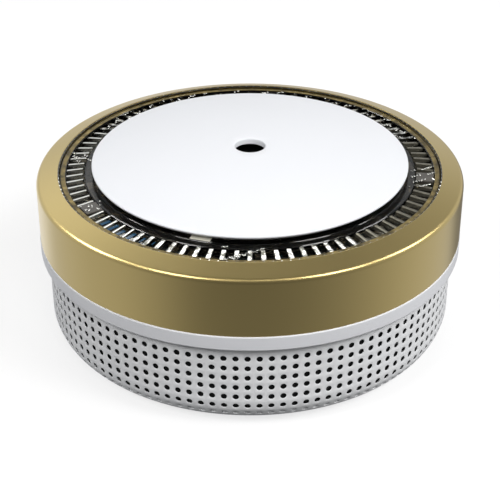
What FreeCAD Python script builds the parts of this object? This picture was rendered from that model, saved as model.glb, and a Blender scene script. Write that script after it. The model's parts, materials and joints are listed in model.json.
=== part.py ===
import FreeCAD, Part
import math
import os

import Sketcher
from FreeCAD import Rotation, Vector

# Round air quality monitor, standing on its twist-off base. Millimetres, +Z up.
# The origin is at the middle of the footprint, on the surface that it stands on.
# The front faces -Y and the supply socket is at the back, on +Y.

SIZES = {
    # gilt trim ring
    "trim_radius": 50.0,
    "trim_wall": 1.4,
    "trim_bottom": 25.9,
    "trim_shoulder": 40.05,
    "trim_crown": 41.3,
    "trim_inner_radius": 44.9,
    "trim_lip_width": 1.3,
    "trim_lip_depth": 2.9,
    "trim_slope_angle": 18.88,
    "trim_top_thickness": 1.82,
    "trim_edge_chamfer": 0.3,
    "shoulder_rounding": 1.3,
    # white middle frame
    "band_radius": 50.1,
    "band_bottom": 22.3,
    "frame_wall_outer": 48.5,
    "frame_wall_inner": 47.0,
    "frame_wall_top": 37.5,
    "shelf_radius": 40.0,
    "shelf_bottom": 24.9,
    "shelf_top": 26.6,
    "pillar_circle": 38.9,
    "pillar_radius": 3.0,
    "pillar_angle": 45.0,
    "board_boss_circle": 41.1,
    "board_boss_radius": 1.8,
    "board_boss_drop": 3.0,
    "boss_floor": 0.4,
    "fin_left_angle": -99.9,
    "fin_right_angle": -69.0,
    "fin_inner_radius": 44.2,
    "fin_outer_radius": 46.9,
    "fin_width": 2.2,
    "fin_bottom": 8.4,
    # perforated grille
    "grille_radius": 48.3,
    "grille_wall": 1.3,
    "grille_top": 24.8,
    "grille_base": 0.6,
    "grille_rounding": 7.0,
    "grille_foot_width": 0.3,
    "flange_radius": 36.6,
    "flange_bottom": 2.2,
    "flange_thickness": 2.0,
    "hole_radius": 0.6,
    "hole_pitch": 2.5,
    "hole_rows": 7,
    "hole_columns": 117,
    "first_row_height": 19.05,
    "first_column_angle": -90.6,
    "mesh_radius": 43.3,
    "mesh_thickness": 0.3,
    "mesh_window_width": 22.0,
    "mesh_window_height": 10.0,
    # twist-off base
    "ring_outer_radius": 41.5,
    "ring_height": 4.0,
    "ledge_radius": 34.8,
    "ledge_thickness": 1.2,
    "ledge_arc": 40.0,
    "stop_arc": 8.0,
    "stop_gap": 0.4,
    "plate_radius": 40.8,
    "plate_bottom": 0.6,
    "plate_rim_top": 2.0,
    "plate_top": 3.0,
    "plate_step_radius": 36.2,
    "collar_inner_radius": 32.8,
    "collar_outer_radius": 34.4,
    "lug_arc": 18.0,
    "lug_thickness": 1.5,
    "lug_gap": 0.1,
    "screw_hole_spacing": 60.0,
    "screw_hole_radius": 2.2,
    "foot_circle": 24.0,
    "foot_radius": 5.0,
    "foot_recess": 0.9,
    # smoked lens ring
    "lens_outer_radius": 44.6,
    "lens_inner_radius": 33.5,
    "lens_top": 40.6,
    "lens_web_thickness": 1.0,
    "lens_foot": 36.0,
    "lens_foot_width": 1.3,
    "rib_inner_radius": 38.8,
    "rib_outer_radius": 43.1,
    "rib_height": 1.2,
    "rib_count": 90,
    "rib_share": 0.36,
    # push plate
    "disc_radius": 37.0,
    "disc_edge_top": 42.6,
    "disc_edge_bottom": 41.4,
    "disc_crown": 46.0,
    "disc_hole_radius": 3.53,
    "disc_thickness": 1.36,
    "disc_land": 1.0,
    "skirt_radius": 32.2,
    "skirt_wall": 1.2,
    "skirt_bottom": 39.6,
    "stem_circle": 28.0,
    "stem_radius": 2.0,
    "stem_bottom": 30.8,
    "collar_radius": 3.2,
    "collar_bottom": 41.5,
    "collar_top": 43.3,
    "clip_radius": 3.4,
    "clip_thickness": 0.6,
    "press_travel": 0.6,
    # deck and light board
    "deck_radius": 46.8,
    "deck_wall": 1.6,
    "deck_bottom": 33.0,
    "deck_top": 34.6,
    "guide_radius": 4.0,
    "guide_top": 37.5,
    "guide_clearance": 0.08,
    "light_board_radius": 44.8,
    "light_board_hole": 14.0,
    "light_board_top": 36.0,
    "led_circle": 40.9,
    "led_size": 2.8,
    "led_height": 1.6,
    "led_count": 12,
    "spring_radius": 2.75,
    "spring_wire": 0.25,
    "spring_pitch": 0.85,
    "switch_offset": -21.0,
    "switch_side": 6.0,
    "switch_top": 39.5,
    "plunger_radius": 1.7,
    "plunger_bottom": 38.6,
    "plunger_top": 41.0,
    "pusher_top": 43.9,
    "deck_screw_circle": 20.0,
    "deck_screw_angle": 60.0,
    "deck_boss_radius": 2.3,
    "deck_boss_bottom": 31.8,
    "sounder_radius": 12.5,
    "sounder_top": 40.5,
    "sounder_wall": 1.0,
    "sounder_port": 1.8,
    "piezo_radius": 11.0,
    "piezo_thickness": 0.6,
    "piezo_bottom": 36.4,
    "piezo_ledge": 1.0,
    # main board and what it carries
    "board_radius": 44.6,
    "board_bottom": 26.6,
    "board_top": 28.2,
    "battery_width": 34.0,
    "battery_length": 46.0,
    "battery_height": 3.4,
    "battery_rear": 20.0,
    "radio_left": 21.0,
    "radio_front": -4.0,
    "radio_width": 16.0,
    "radio_length": 24.0,
    "radio_height": 3.2,
    "header_width": 12.0,
    "header_length": 3.0,
    "header_front": 34.0,
    "dust_left": -33.5,
    "dust_width": 38.0,
    "dust_length": 35.0,
    "dust_bottom": 14.6,
    "dust_case_height": 11.0,
    "dust_lid_height": 1.0,
    "dust_wall": 1.2,
    "channel_width": 8.0,
    "optics_left": -8.0,
    "optics_width": 12.0,
    "optics_rise": 3.8,
    "port_height": 4.0,
    "laser_radius": 1.65,
    "laser_height": 3.5,
    "laser_inset": 6.0,
    "fan_centre": -21.0,
    "fan_bay_radius": 10.4,
    "fan_hub_radius": 3.6,
    "fan_blade_radius": 9.6,
    "fan_blade_thickness": 0.8,
    "fan_blades": 7,
    "fan_bottom": 17.8,
    "fan_height": 6.4,
    "shaft_radius": 0.75,
    "shaft_clearance": 0.05,
    "gas_left": 7.0,
    "gas_width": 23.0,
    "gas_length": 35.0,
    "gas_height": 7.0,
    "small_sensor_side": 3.0,
    "small_sensor_height": 1.0,
    "odour_left": -14.0,
    "odour_front": 26.0,
    "humidity_left": -2.0,
    "humidity_front": -31.0,
    "usb_height": 15.0,
    "usb_width": 9.0,
    "usb_thickness": 3.2,
    "usb_depth": 7.3,
    "usb_mouth": 46.9,
    "usb_shell": 0.3,
    "usb_back_wall": 1.0,
    "usb_tongue": 0.7,
    "usb_tongue_width": 6.6,
    "usb_board_length": 9.0,
    "usb_board_thickness": 1.2,
    "usb_pins_width": 10.0,
    "usb_pins_length": 2.0,
    "usb_slot_width": 10.0,
    "usb_slot_height": 4.2,
    "usb_land": 9.0,
    # fasteners
    "screw_radius": 1.1,
    "screw_head_radius": 2.0,
    "screw_head_height": 1.1,
    "screw_length": 10.0,
    "small_screw_radius": 0.9,
    "small_head_radius": 1.7,
    "small_head_height": 1.2,
    "board_screw_length": 5.6,
    "deck_screw_length": 4.0,
    # clearances
    "fit_gap": 0.1,
    "overlap": 0.5,
    "drill_overrun": 0.8,
}


class Size:
    """A number together with the sheet formula that gives it."""

    def __init__(self, value, text):
        self.value = value
        self.text = text

    def _join(self, other, sign, value):
        other = sized(other)
        return Size(value(self.value, other.value), f"({self.text} {sign} {other.text})")

    def __add__(self, other):
        return self._join(other, "+", lambda a, b: a + b)

    def __radd__(self, other):
        return sized(other) + self

    def __sub__(self, other):
        return self._join(other, "-", lambda a, b: a - b)

    def __rsub__(self, other):
        return sized(other) - self

    def __mul__(self, other):
        return self._join(other, "*", lambda a, b: a * b)

    def __rmul__(self, other):
        return sized(other) * self

    def __truediv__(self, other):
        return self._join(other, "/", lambda a, b: a / b)

    def __rtruediv__(self, other):
        return sized(other) / self

    def __neg__(self):
        return Size(-self.value, f"(-1 * {self.text})")


class Sheet:
    """The driving sizes, read by name."""

    def __init__(self, doc):
        self.cells = doc.addObject("Spreadsheet::Sheet", "Sizes")
        for row, (name, value) in enumerate(SIZES.items(), start=1):
            self.cells.set(f"A{row}", name.replace("_", " "))
            self.cells.set(f"B{row}", str(value))
            self.cells.setAlias(f"B{row}", name)
        doc.recompute()

    def __getattr__(self, name):
        return Size(float(self.cells.get(name)), f"Sizes.{name}")


def sized(value):
    """A Size for a plain number, or the Size itself."""
    if isinstance(value, Size):
        return value
    return Size(float(value), repr(float(value)))


def root(value):
    return Size(math.sqrt(value.value), f"sqrt({value.text})")


def cosine(angle):
    angle = sized(angle)
    return Size(math.cos(math.radians(angle.value)), f"cos({angle.text})")


def sine(angle):
    angle = sized(angle)
    return Size(math.sin(math.radians(angle.value)), f"sin({angle.text})")


def bind(obj, path, value):
    obj.setExpression(path, sized(value).text)


def place(obj, across=0, along=0, up=0):
    """Put an object at a point given by sheet formulas."""
    for axis, value in (("x", across), ("y", along), ("z", up)):
        bind(obj, f"Placement.Base.{axis}", value)


# ---- sketches and PartDesign features ----


def new_body(doc, label):
    body = doc.addObject("PartDesign::Body", label)
    body.Label = label
    return body


def new_sketch(body, name, role, up=None):
    """A sketch on one of the body's own origin planes, raised by a sheet formula."""
    sketch = body.newObject("Sketcher::SketchObject", name)
    plane = next(item for item in body.Origin.OriginFeatures if item.Role == role)
    sketch.AttachmentSupport = [(plane, "")]
    sketch.MapMode = "FlatFace"
    if up is not None:
        bind(sketch, "AttachmentOffset.Base.z", up)
    return sketch


def hold_point(sketch, geometry, position, point):
    """Fix a point of the sketch at a distance from the sketch's origin."""
    for kind, value in zip(("DistanceX", "DistanceY"), point):
        value = sized(value)
        row = sketch.addConstraint(Sketcher.Constraint(kind, -1, 1, geometry, position, value.value))
        bind(sketch, f"Constraints[{row}]", value)


def arc_between(start, end, radius):
    """The shorter arc from start to end, and whether it runs clockwise (negative radius)."""
    first = Vector(start[0].value, start[1].value, 0)
    last = Vector(end[0].value, end[1].value, 0)
    chord = last - first
    size = abs(radius.value)
    rise = math.sqrt(size**2 - (chord.Length / 2) ** 2)
    side = 1 if radius.value > 0 else -1
    normal = Vector(-chord.y, chord.x, 0).normalize()
    centre = (first + last) * 0.5 + normal * rise * side
    angles = [math.atan2(point.y - centre.y, point.x - centre.x) for point in (first, last)]
    if side < 0:
        angles.reverse()
    circle = Part.Circle(centre, Vector(0, 0, 1), size)
    return Part.ArcOfCircle(circle, angles[0], angles[1]), side < 0


def draw_outline(sketch, points):
    """A closed outline. A third item on a point is the radius of the arc that ends there.

    A positive radius turns left along the way, a negative one turns right.
    """
    points = [tuple(sized(item) for item in point) for point in points]
    runs = []
    for number, point in enumerate(points):
        before = points[number - 1]
        if len(point) > 2:
            curve, clockwise = arc_between(before, point, point[2])
            geometry = sketch.addGeometry(curve)
            row = sketch.addConstraint(Sketcher.Constraint("Radius", geometry, abs(point[2].value)))
            bind(sketch, f"Constraints[{row}]", point[2] if point[2].value > 0 else -point[2])
            runs.append((geometry, 2, 1) if clockwise else (geometry, 1, 2))
        else:
            ends = [Vector(item[0].value, item[1].value, 0) for item in (before, point)]
            runs.append((sketch.addGeometry(Part.LineSegment(*ends)), 1, 2))
    for number, (geometry, start, end) in enumerate(runs):
        before = runs[number - 1]
        sketch.addConstraint(Sketcher.Constraint("Coincident", before[0], before[2], geometry, start))
        hold_point(sketch, geometry, end, points[number][:2])


def draw_circle(sketch, across, along, radius):
    centre = Vector(sized(across).value, sized(along).value, 0)
    geometry = sketch.addGeometry(Part.Circle(centre, Vector(0, 0, 1), sized(radius).value))
    row = sketch.addConstraint(Sketcher.Constraint("Radius", geometry, sized(radius).value))
    bind(sketch, f"Constraints[{row}]", radius)
    hold_point(sketch, geometry, 3, (across, along))


def draw_sector(sketch, inner, outer, middle, arc):
    """A stretch of a ring between two radii, centred on an angle."""
    first = middle - arc / 2
    last = middle + arc / 2
    draw_outline(
        sketch,
        [
            (inner * cosine(first), inner * sine(first), -inner),
            (outer * cosine(first), outer * sine(first)),
            (outer * cosine(last), outer * sine(last), outer),
            (inner * cosine(last), inner * sine(last)),
        ],
    )


def revolve(body, name, points):
    """Turn an outline of (radius, height) points once round the body's Z axis."""
    sketch = new_sketch(body, name + "_outline", "XZ_Plane")
    draw_outline(sketch, points)
    turn = body.newObject("PartDesign::Revolution", name)
    turn.Profile = sketch
    turn.ReferenceAxis = (sketch, ["V_Axis"])
    turn.Angle = 360
    return turn


def pad(body, name, sketch, length, down=False):
    raised = body.newObject("PartDesign::Pad", name)
    raised.Profile = sketch
    raised.Reversed = down
    bind(raised, "Length", length)
    return raised


def pocket(body, name, sketch, depth, down=True):
    sunk = body.newObject("PartDesign::Pocket", name)
    sunk.Profile = sketch
    sunk.Reversed = not down
    bind(sunk, "Length", depth)
    return sunk


def repeat_round(body, name, features, count):
    """Repeat features at even steps round the body's Z axis."""
    pattern = body.newObject("PartDesign::PolarPattern", name)
    axis = next(item for item in body.Origin.OriginFeatures if item.Role == "Z_Axis")
    pattern.Originals = features
    pattern.Axis = (axis, [""])
    pattern.Angle = 360
    bind(pattern, "Occurrences", count)
    body.Tip = pattern
    return pattern


# ---- Part primitives and booleans ----


def box(doc, label, width, length, height, corner):
    block = doc.addObject("Part::Box", label)
    bind(block, "Length", width)
    bind(block, "Width", length)
    bind(block, "Height", height)
    place(block, *corner)
    return block


def radial_box(doc, label, length, width, height, inner, angle, up):
    """A box whose length runs outwards from the Z axis, from an inner radius and at an angle."""
    block = box(doc, label, length, width, height, (0, 0, 0))
    block.Placement.Rotation = Rotation(Vector(0, 0, 1), sized(angle).value)
    half = width / 2
    across = inner * cosine(angle) + half * sine(angle)
    place(block, across, inner * sine(angle) - half * cosine(angle), up)
    return block


def cylinder(doc, label, radius, height, foot):
    rod = doc.addObject("Part::Cylinder", label)
    bind(rod, "Radius", radius)
    bind(rod, "Height", height)
    place(rod, *foot)
    return rod


def fuse(doc, label, shapes):
    joined = doc.addObject("Part::MultiFuse", label)
    joined.Shapes = shapes
    joined.Label = label
    return joined


def cut(doc, label, base, tools):
    result = doc.addObject("Part::Cut", label)
    result.Base = base
    result.Tool = tools[0] if len(tools) == 1 else fuse(doc, label + "_tools", tools)
    result.Label = label
    return result


def group(doc, label, members):
    """Several separate solids in one node."""
    together = doc.addObject("Part::Compound", label)
    together.Links = members
    together.Label = label
    return together


def pan_screw(doc, label, head, shank, length, foot, points_up):
    """A screw as one solid: a pan head of (radius, height) and a plain shank."""
    across, along, up = foot
    head_radius, head_height = head
    shank_foot = up + head_height if points_up else up - length
    return fuse(
        doc,
        label,
        [
            cylinder(doc, label + "_head", head_radius, head_height, (across, along, up)),
            cylinder(doc, label + "_shank", shank, length, (across, along, shank_foot)),
        ],
    )


# ---- outer shells ----


def build_trim_ring(doc, size):
    """Gilt ring: a straight side, a rounded shoulder and a top that rises to the lens."""
    slope = size.trim_slope_angle
    lip_edge = size.trim_inner_radius + size.trim_lip_width
    under = size.trim_crown - size.trim_top_thickness
    rounding = size.shoulder_rounding
    shoulder_end = size.trim_radius - rounding * (1 - sine(slope))
    shoulder_height = size.trim_shoulder - rounding * (1 - cosine(slope))
    edge = size.trim_inner_radius + size.trim_edge_chamfer
    body = new_body(doc, "trim_ring")
    revolve(
        body,
        "trim_turn",
        [
            (size.trim_radius, size.trim_bottom),
            (size.trim_radius, size.trim_shoulder - rounding),
            (shoulder_end, shoulder_height, rounding),
            (edge, shoulder_height + (shoulder_end - edge) * sine(slope) / cosine(slope)),
            (size.trim_inner_radius, size.trim_crown - size.trim_edge_chamfer),
            (size.trim_inner_radius, size.trim_crown - size.trim_lip_depth),
            (lip_edge, size.trim_crown - size.trim_lip_depth),
            (lip_edge, under),
            (size.trim_radius - size.trim_wall, size.trim_shoulder - size.trim_wall),
            (size.trim_radius - size.trim_wall, size.trim_bottom),
        ],
    )
    return body


def build_middle_frame(doc, size):
    """White frame: the visible band, the wall inside the trim ring, a shelf and board bosses."""
    body = new_body(doc, "middle_frame")
    groove = size.grille_radius + size.fit_gap
    revolve(
        body,
        "frame_turn",
        [
            (size.band_radius, size.band_bottom),
            (size.band_radius, size.trim_bottom),
            (size.frame_wall_outer, size.trim_bottom),
            (size.frame_wall_outer, size.frame_wall_top),
            (size.frame_wall_inner, size.frame_wall_top),
            (size.frame_wall_inner, size.shelf_top),
            (size.shelf_radius, size.shelf_top),
            (size.shelf_radius, size.shelf_bottom),
            (groove, size.shelf_bottom),
            (groove, size.band_bottom),
        ],
    )
    boss_bottom = size.shelf_bottom - size.board_boss_drop
    bosses = new_sketch(body, "boss_outline", "XY_Plane", boss_bottom)
    draw_circle(bosses, size.board_boss_circle, 0, size.board_boss_radius)
    boss = pad(body, "board_boss", bosses, size.shelf_top - boss_bottom)
    bore = new_sketch(body, "boss_bore_outline", "XY_Plane", size.shelf_top)
    draw_circle(bore, size.board_boss_circle, 0, size.small_screw_radius)
    boss_bore = pocket(body, "board_boss_bore", bore, size.shelf_top - boss_bottom - size.boss_floor)
    repeat_round(body, "board_bosses", [boss, boss_bore], 3)
    return body


def build_frame_pillars(doc, size):
    """What stands below the frame's shelf: three screw pillars and three pairs of fins."""
    foot = size.flange_bottom + size.flange_thickness + size.ring_height
    height = size.shelf_bottom - foot
    members = []
    for turn in range(3):
        angle = size.pillar_angle + turn * 120
        spot = (size.pillar_circle * cosine(angle), size.pillar_circle * sine(angle), foot)
        post = cylinder(doc, f"pillar_blank_{turn}", size.pillar_radius, height, spot)
        pilot = cylinder(doc, f"pilot_hole_{turn}", size.screw_radius, size.screw_length, spot)
        members.append(cut(doc, f"pillar_{turn}", post, [pilot]))
        for side, start in (("left", size.fin_left_angle), ("right", size.fin_right_angle)):
            members.append(
                radial_box(
                    doc,
                    f"fin_{side}_{turn}",
                    size.fin_outer_radius - size.fin_inner_radius,
                    size.fin_width,
                    size.shelf_bottom - size.fin_bottom,
                    size.fin_inner_radius,
                    start + turn * 120,
                    size.fin_bottom,
                )
            )
    return group(doc, "frame_pillars", members)


def build_perforations(doc, size):
    """Every grille hole as one tool: straight rows on the wall, then rows round the bottom edge."""
    rounding = size.grille_rounding.value
    edge_height = (size.grille_base + size.grille_rounding).value
    edge_centre = size.grille_radius.value - rounding
    overrun = size.drill_overrun.value
    drill_length = size.grille_wall.value + overrun * 2
    straight = size.first_row_height.value - edge_height
    columns = int(size.hole_columns.value)
    drills = []
    for row in range(int(size.hole_rows.value)):
        drop = row * size.hole_pitch.value
        tilt = max(0.0, (drop - straight) / rounding)
        height = size.first_row_height.value - min(drop, straight) - rounding * math.sin(tilt)
        reach = edge_centre + rounding * math.cos(tilt)
        for column in range(columns):
            angle = math.radians(size.first_column_angle.value + column * 360 / columns)
            across = reach * math.cos(angle)
            near_socket = abs(across) < size.usb_land.value and math.sin(angle) > 0
            if near_socket and abs(height - size.usb_height.value) < size.usb_land.value / 2:
                continue
            outwards = Vector(
                math.cos(angle) * math.cos(tilt), math.sin(angle) * math.cos(tilt), -math.sin(tilt)
            )
            mouth = Vector(across, reach * math.sin(angle), height)
            foot = mouth + outwards * (overrun - drill_length)
            drills.append(Part.makeCylinder(size.hole_radius.value, drill_length, foot, outwards))
    tool = doc.addObject("Part::Feature", "perforations")
    tool.Shape = Part.makeCompound(drills)
    return tool


def build_grille(doc, size):
    """White basket: a perforated wall, a rounded bottom edge and an inner flange for the base."""
    shell = new_body(doc, "grille_blank")
    rounding = size.grille_rounding
    inner_rounding = rounding - size.grille_wall
    edge_centre = size.grille_radius - rounding
    edge_height = size.grille_base + rounding
    flange_top = size.flange_bottom + size.flange_thickness
    drop = edge_height - flange_top
    revolve(
        shell,
        "grille_turn",
        [
            (size.grille_radius, size.grille_top),
            (size.grille_radius - size.grille_wall, size.grille_top),
            (size.grille_radius - size.grille_wall, edge_height),
            (
                edge_centre + root(inner_rounding * inner_rounding - drop * drop),
                flange_top,
                -inner_rounding,
            ),
            (size.flange_radius, flange_top),
            (size.flange_radius, size.flange_bottom),
            (edge_centre - size.grille_foot_width, size.flange_bottom),
            (edge_centre - size.grille_foot_width, size.grille_base),
            (edge_centre, size.grille_base),
            (size.grille_radius, edge_height, rounding),
        ],
    )
    seats = []
    for turn in range(3):
        angle = size.pillar_angle + turn * 120
        spot = (size.pillar_circle * cosine(angle), size.pillar_circle * sine(angle))
        gap = size.fit_gap
        seat = size.screw_head_radius + gap * 2
        foot = (*spot, size.flange_bottom - gap)
        depth = size.screw_head_height + gap * 2
        seats.append(cylinder(doc, f"head_seat_{turn}", seat, depth, foot))
        shank = size.screw_radius + gap
        seats.append(cylinder(doc, f"shank_hole_{turn}", shank, size.flange_thickness * 2, foot))
    slot = box(
        doc,
        "socket_slot",
        size.usb_slot_width,
        size.band_radius - size.mesh_radius,
        size.usb_slot_height,
        (-size.usb_slot_width / 2, size.mesh_radius, size.usb_height - size.usb_slot_height / 2),
    )
    return cut(doc, "grille_basket", shell, [*seats, slot, build_perforations(doc, size)])


def build_insect_mesh(doc, size):
    """Fine inner sleeve that keeps insects out, open where the socket passes."""
    low = size.flange_bottom + size.flange_thickness
    high = size.shelf_bottom - size.board_boss_drop
    sleeve = new_body(doc, "insect_mesh_blank")
    inner = size.mesh_radius - size.mesh_thickness
    revolve(
        sleeve,
        "mesh_turn",
        [(size.mesh_radius, low), (size.mesh_radius, high), (inner, high), (inner, low)],
    )
    half = size.mesh_window_width / 2
    corner = (-half, half, size.usb_height - size.mesh_window_height / 2)
    window = box(
        doc, "mesh_window", half * 2, size.mesh_radius, size.mesh_window_height, corner
    )
    return cut(doc, "insect_mesh", sleeve, [window])


# ---- twist-off base ----


def build_bayonet_ring(doc, size):
    """Ring over the grille's flange, with three ledges that the base hooks onto."""
    low = size.flange_bottom + size.flange_thickness
    body = new_body(doc, "bayonet_ring")
    revolve(
        body,
        "bayonet_turn",
        [
            (size.ring_outer_radius, low),
            (size.ring_outer_radius, low + size.ring_height),
            (size.flange_radius, low + size.ring_height),
            (size.flange_radius, low),
        ],
    )
    ledge_outline = new_sketch(body, "ledge_outline", "XY_Plane", low)
    ledge_root = size.flange_radius + size.overlap
    draw_sector(ledge_outline, size.ledge_radius, ledge_root, sized(0), size.ledge_arc)
    ledge = pad(body, "ledge", ledge_outline, size.ledge_thickness)
    stop_outline = new_sketch(body, "stop_outline", "XY_Plane", low)
    stop_middle = -(size.lug_arc / 2 + size.stop_arc / 2 + size.stop_gap)
    draw_sector(stop_outline, size.ledge_radius, ledge_root, stop_middle, size.stop_arc)
    stop = pad(body, "stop", stop_outline, size.ring_height)
    hole_outline = new_sketch(body, "screw_hole_outline", "XY_Plane", low)
    draw_circle(
        hole_outline,
        size.pillar_circle * cosine(size.pillar_angle),
        size.pillar_circle * sine(size.pillar_angle),
        size.screw_radius + size.fit_gap,
    )
    hole = pocket(body, "screw_hole", hole_outline, size.ring_height, down=False)
    repeat_round(body, "ledges_and_holes", [ledge, stop, hole], 3)
    return body


def build_mounting_plate(doc, size):
    """Base plate with screw holes, recesses for the feet and a collar with three lugs."""
    body = new_body(doc, "mounting_plate")
    ledge_top = size.flange_bottom + size.flange_thickness + size.ledge_thickness
    lug_bottom = ledge_top + size.lug_gap
    lug_top = lug_bottom + size.lug_thickness
    revolve(
        body,
        "plate_turn",
        [
            (0, size.plate_bottom),
            (size.plate_radius, size.plate_bottom),
            (size.plate_radius, size.plate_rim_top),
            (size.plate_step_radius, size.plate_rim_top),
            (size.plate_step_radius, size.plate_top),
            (size.collar_outer_radius, size.plate_top),
            (size.collar_outer_radius, lug_top),
            (size.collar_inner_radius, lug_top),
            (size.collar_inner_radius, size.plate_top),
            (0, size.plate_top),
        ],
    )
    lug_outline = new_sketch(body, "lug_outline", "XY_Plane", lug_bottom)
    draw_sector(
        lug_outline,
        size.collar_inner_radius + size.overlap,
        size.plate_step_radius,
        sized(0),
        size.lug_arc,
    )
    lug = pad(body, "lug", lug_outline, size.lug_thickness)
    repeat_round(body, "lugs", [lug], 3)
    recess_outline = new_sketch(body, "foot_recess_outline", "XY_Plane", size.plate_bottom)
    diagonal = size.foot_circle * cosine(45)
    draw_circle(recess_outline, diagonal, diagonal, size.foot_radius)
    recess = pocket(body, "foot_recess", recess_outline, size.foot_recess, down=False)
    repeat_round(body, "foot_recesses", [recess], 4)
    hole_outline = new_sketch(body, "wall_hole_outline", "XY_Plane", size.plate_bottom)
    draw_circle(hole_outline, size.screw_hole_spacing / 2, 0, size.screw_hole_radius)
    hole = pocket(body, "wall_hole", hole_outline, size.plate_top - size.plate_bottom, down=False)
    repeat_round(body, "wall_holes", [hole], 2)
    return body


def build_feet(doc, size):
    """Four round rubber feet let into the base plate."""
    feet = []
    for turn in range(4):
        angle = 45 + 90 * turn
        spot = (size.foot_circle * cosine(angle), size.foot_circle * sine(angle), 0)
        height = size.plate_bottom + size.foot_recess
        feet.append(cylinder(doc, f"foot_{turn}", size.foot_radius, height, spot))
    return group(doc, "rubber_feet", feet)


# ---- lens and push plate ----


def build_lens_ring(doc, size):
    """Smoked clear ring: two smooth lands with ninety thin ribs between them."""
    body = new_body(doc, "lens_ring")
    web_bottom = size.lens_top - size.rib_height - size.lens_web_thickness
    revolve(
        body,
        "lens_turn",
        [
            (size.lens_outer_radius, size.lens_foot),
            (size.lens_outer_radius, size.lens_top),
            (size.lens_inner_radius, size.lens_top),
            (size.lens_inner_radius, size.lens_foot),
            (size.lens_inner_radius + size.lens_foot_width, size.lens_foot),
            (size.lens_inner_radius + size.lens_foot_width, web_bottom),
            (size.lens_outer_radius - size.lens_foot_width, web_bottom),
            (size.lens_outer_radius - size.lens_foot_width, size.lens_foot),
        ],
    )
    pitch = sized(360) / size.rib_count
    outline = new_sketch(body, "window_outline", "XY_Plane", size.lens_top)
    draw_sector(
        outline, size.rib_inner_radius, size.rib_outer_radius, sized(0), pitch * (1 - size.rib_share)
    )
    window = pocket(body, "window", outline, size.rib_height)
    repeat_round(body, "windows", [window], size.rib_count)
    return body


def build_top_disc(doc, size):
    """Domed white push plate with a centre hole, a stiffening skirt and three guide stems."""
    rise = size.disc_crown - size.disc_edge_top
    dome = (size.disc_radius * size.disc_radius + rise * rise) / (2 * rise)
    hollow = dome - size.disc_thickness
    land_radius = size.disc_radius - size.disc_land
    skirt_inner = size.skirt_radius - size.skirt_wall

    def above(radius):
        return size.disc_crown - dome + root(dome * dome - radius * radius)

    def below(radius):
        return size.disc_crown - dome + root(hollow * hollow - radius * radius)

    body = new_body(doc, "top_disc")
    revolve(
        body,
        "dome_turn",
        [
            (size.disc_hole_radius, below(size.disc_hole_radius)),
            (skirt_inner, below(skirt_inner), -hollow),
            (skirt_inner, size.skirt_bottom),
            (size.skirt_radius, size.skirt_bottom),
            (size.skirt_radius, below(size.skirt_radius)),
            (land_radius, below(land_radius), -hollow),
            (size.disc_radius, size.disc_edge_bottom),
            (size.disc_radius, size.disc_edge_top),
            (size.disc_hole_radius, above(size.disc_hole_radius), dome),
        ],
    )
    collar_outline = new_sketch(body, "collar_outline", "XY_Plane", size.collar_bottom)
    draw_circle(collar_outline, 0, size.stem_circle, size.collar_radius)
    collar = pad(body, "collar", collar_outline, size.collar_top - size.collar_bottom)
    stem_outline = new_sketch(body, "stem_outline", "XY_Plane", size.stem_bottom)
    draw_circle(stem_outline, 0, size.stem_circle, size.stem_radius)
    stem = pad(body, "stem", stem_outline, size.collar_top - size.stem_bottom)
    repeat_round(body, "stems", [collar, stem], 3)
    pusher_outline = new_sketch(body, "pusher_outline", "XY_Plane", size.plunger_top)
    draw_circle(pusher_outline, 0, size.switch_offset, size.plunger_radius + size.fit_gap)
    pad(body, "pusher", pusher_outline, size.pusher_top - size.plunger_top)
    return body


def stem_spots(size):
    """The places of the push plate's three guide stems."""
    for turn in range(3):
        angle = 90 + 120 * turn
        yield turn, size.stem_circle * cosine(angle), size.stem_circle * sine(angle)


def build_disc_clips(doc, size):
    """Retaining clips on the stems, just below the deck, that hold the push plate in."""
    clips = []
    top = size.deck_bottom - size.fit_gap
    for turn, across, along in stem_spots(size):
        foot = (across, along, top - size.clip_thickness)
        washer = cylinder(doc, f"clip_blank_{turn}", size.clip_radius, size.clip_thickness, foot)
        bore = cylinder(doc, f"clip_bore_{turn}", size.stem_radius, size.clip_thickness, foot)
        clips.append(cut(doc, f"clip_{turn}", washer, [bore]))
    return group(doc, "disc_retaining_clips", clips)


def build_springs(doc, size):
    """Return springs round the stems, between the guide bosses and the stem collars."""
    springs = []
    bottom = size.guide_top + size.spring_wire + size.fit_gap / 2
    height = size.collar_bottom - size.guide_top - size.spring_wire * 2 - size.fit_gap
    for turn, across, along in stem_spots(size):
        coil = doc.addObject("Part::Helix", f"coil_{turn}")
        bind(coil, "Radius", size.spring_radius)
        bind(coil, "Pitch", size.spring_pitch)
        bind(coil, "Height", height)
        wire = doc.addObject("Part::RegularPolygon", f"spring_wire_{turn}")
        wire.Polygon = 8
        bind(wire, "Circumradius", size.spring_wire)
        place(wire, size.spring_radius, 0, 0)
        wire.Placement.Rotation = Rotation(Vector(1, 0, 0), 90)
        swept = doc.addObject("Part::Sweep", f"spring_{turn}")
        swept.Sections = [wire]
        swept.Spine = (coil, ["Edge1"])
        swept.Solid = True
        swept.Frenet = True
        place(swept, across, along, bottom)
        springs.append(swept)
    return group(doc, "return_springs", springs)


# ---- deck, light board, switch and sounder ----


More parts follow.
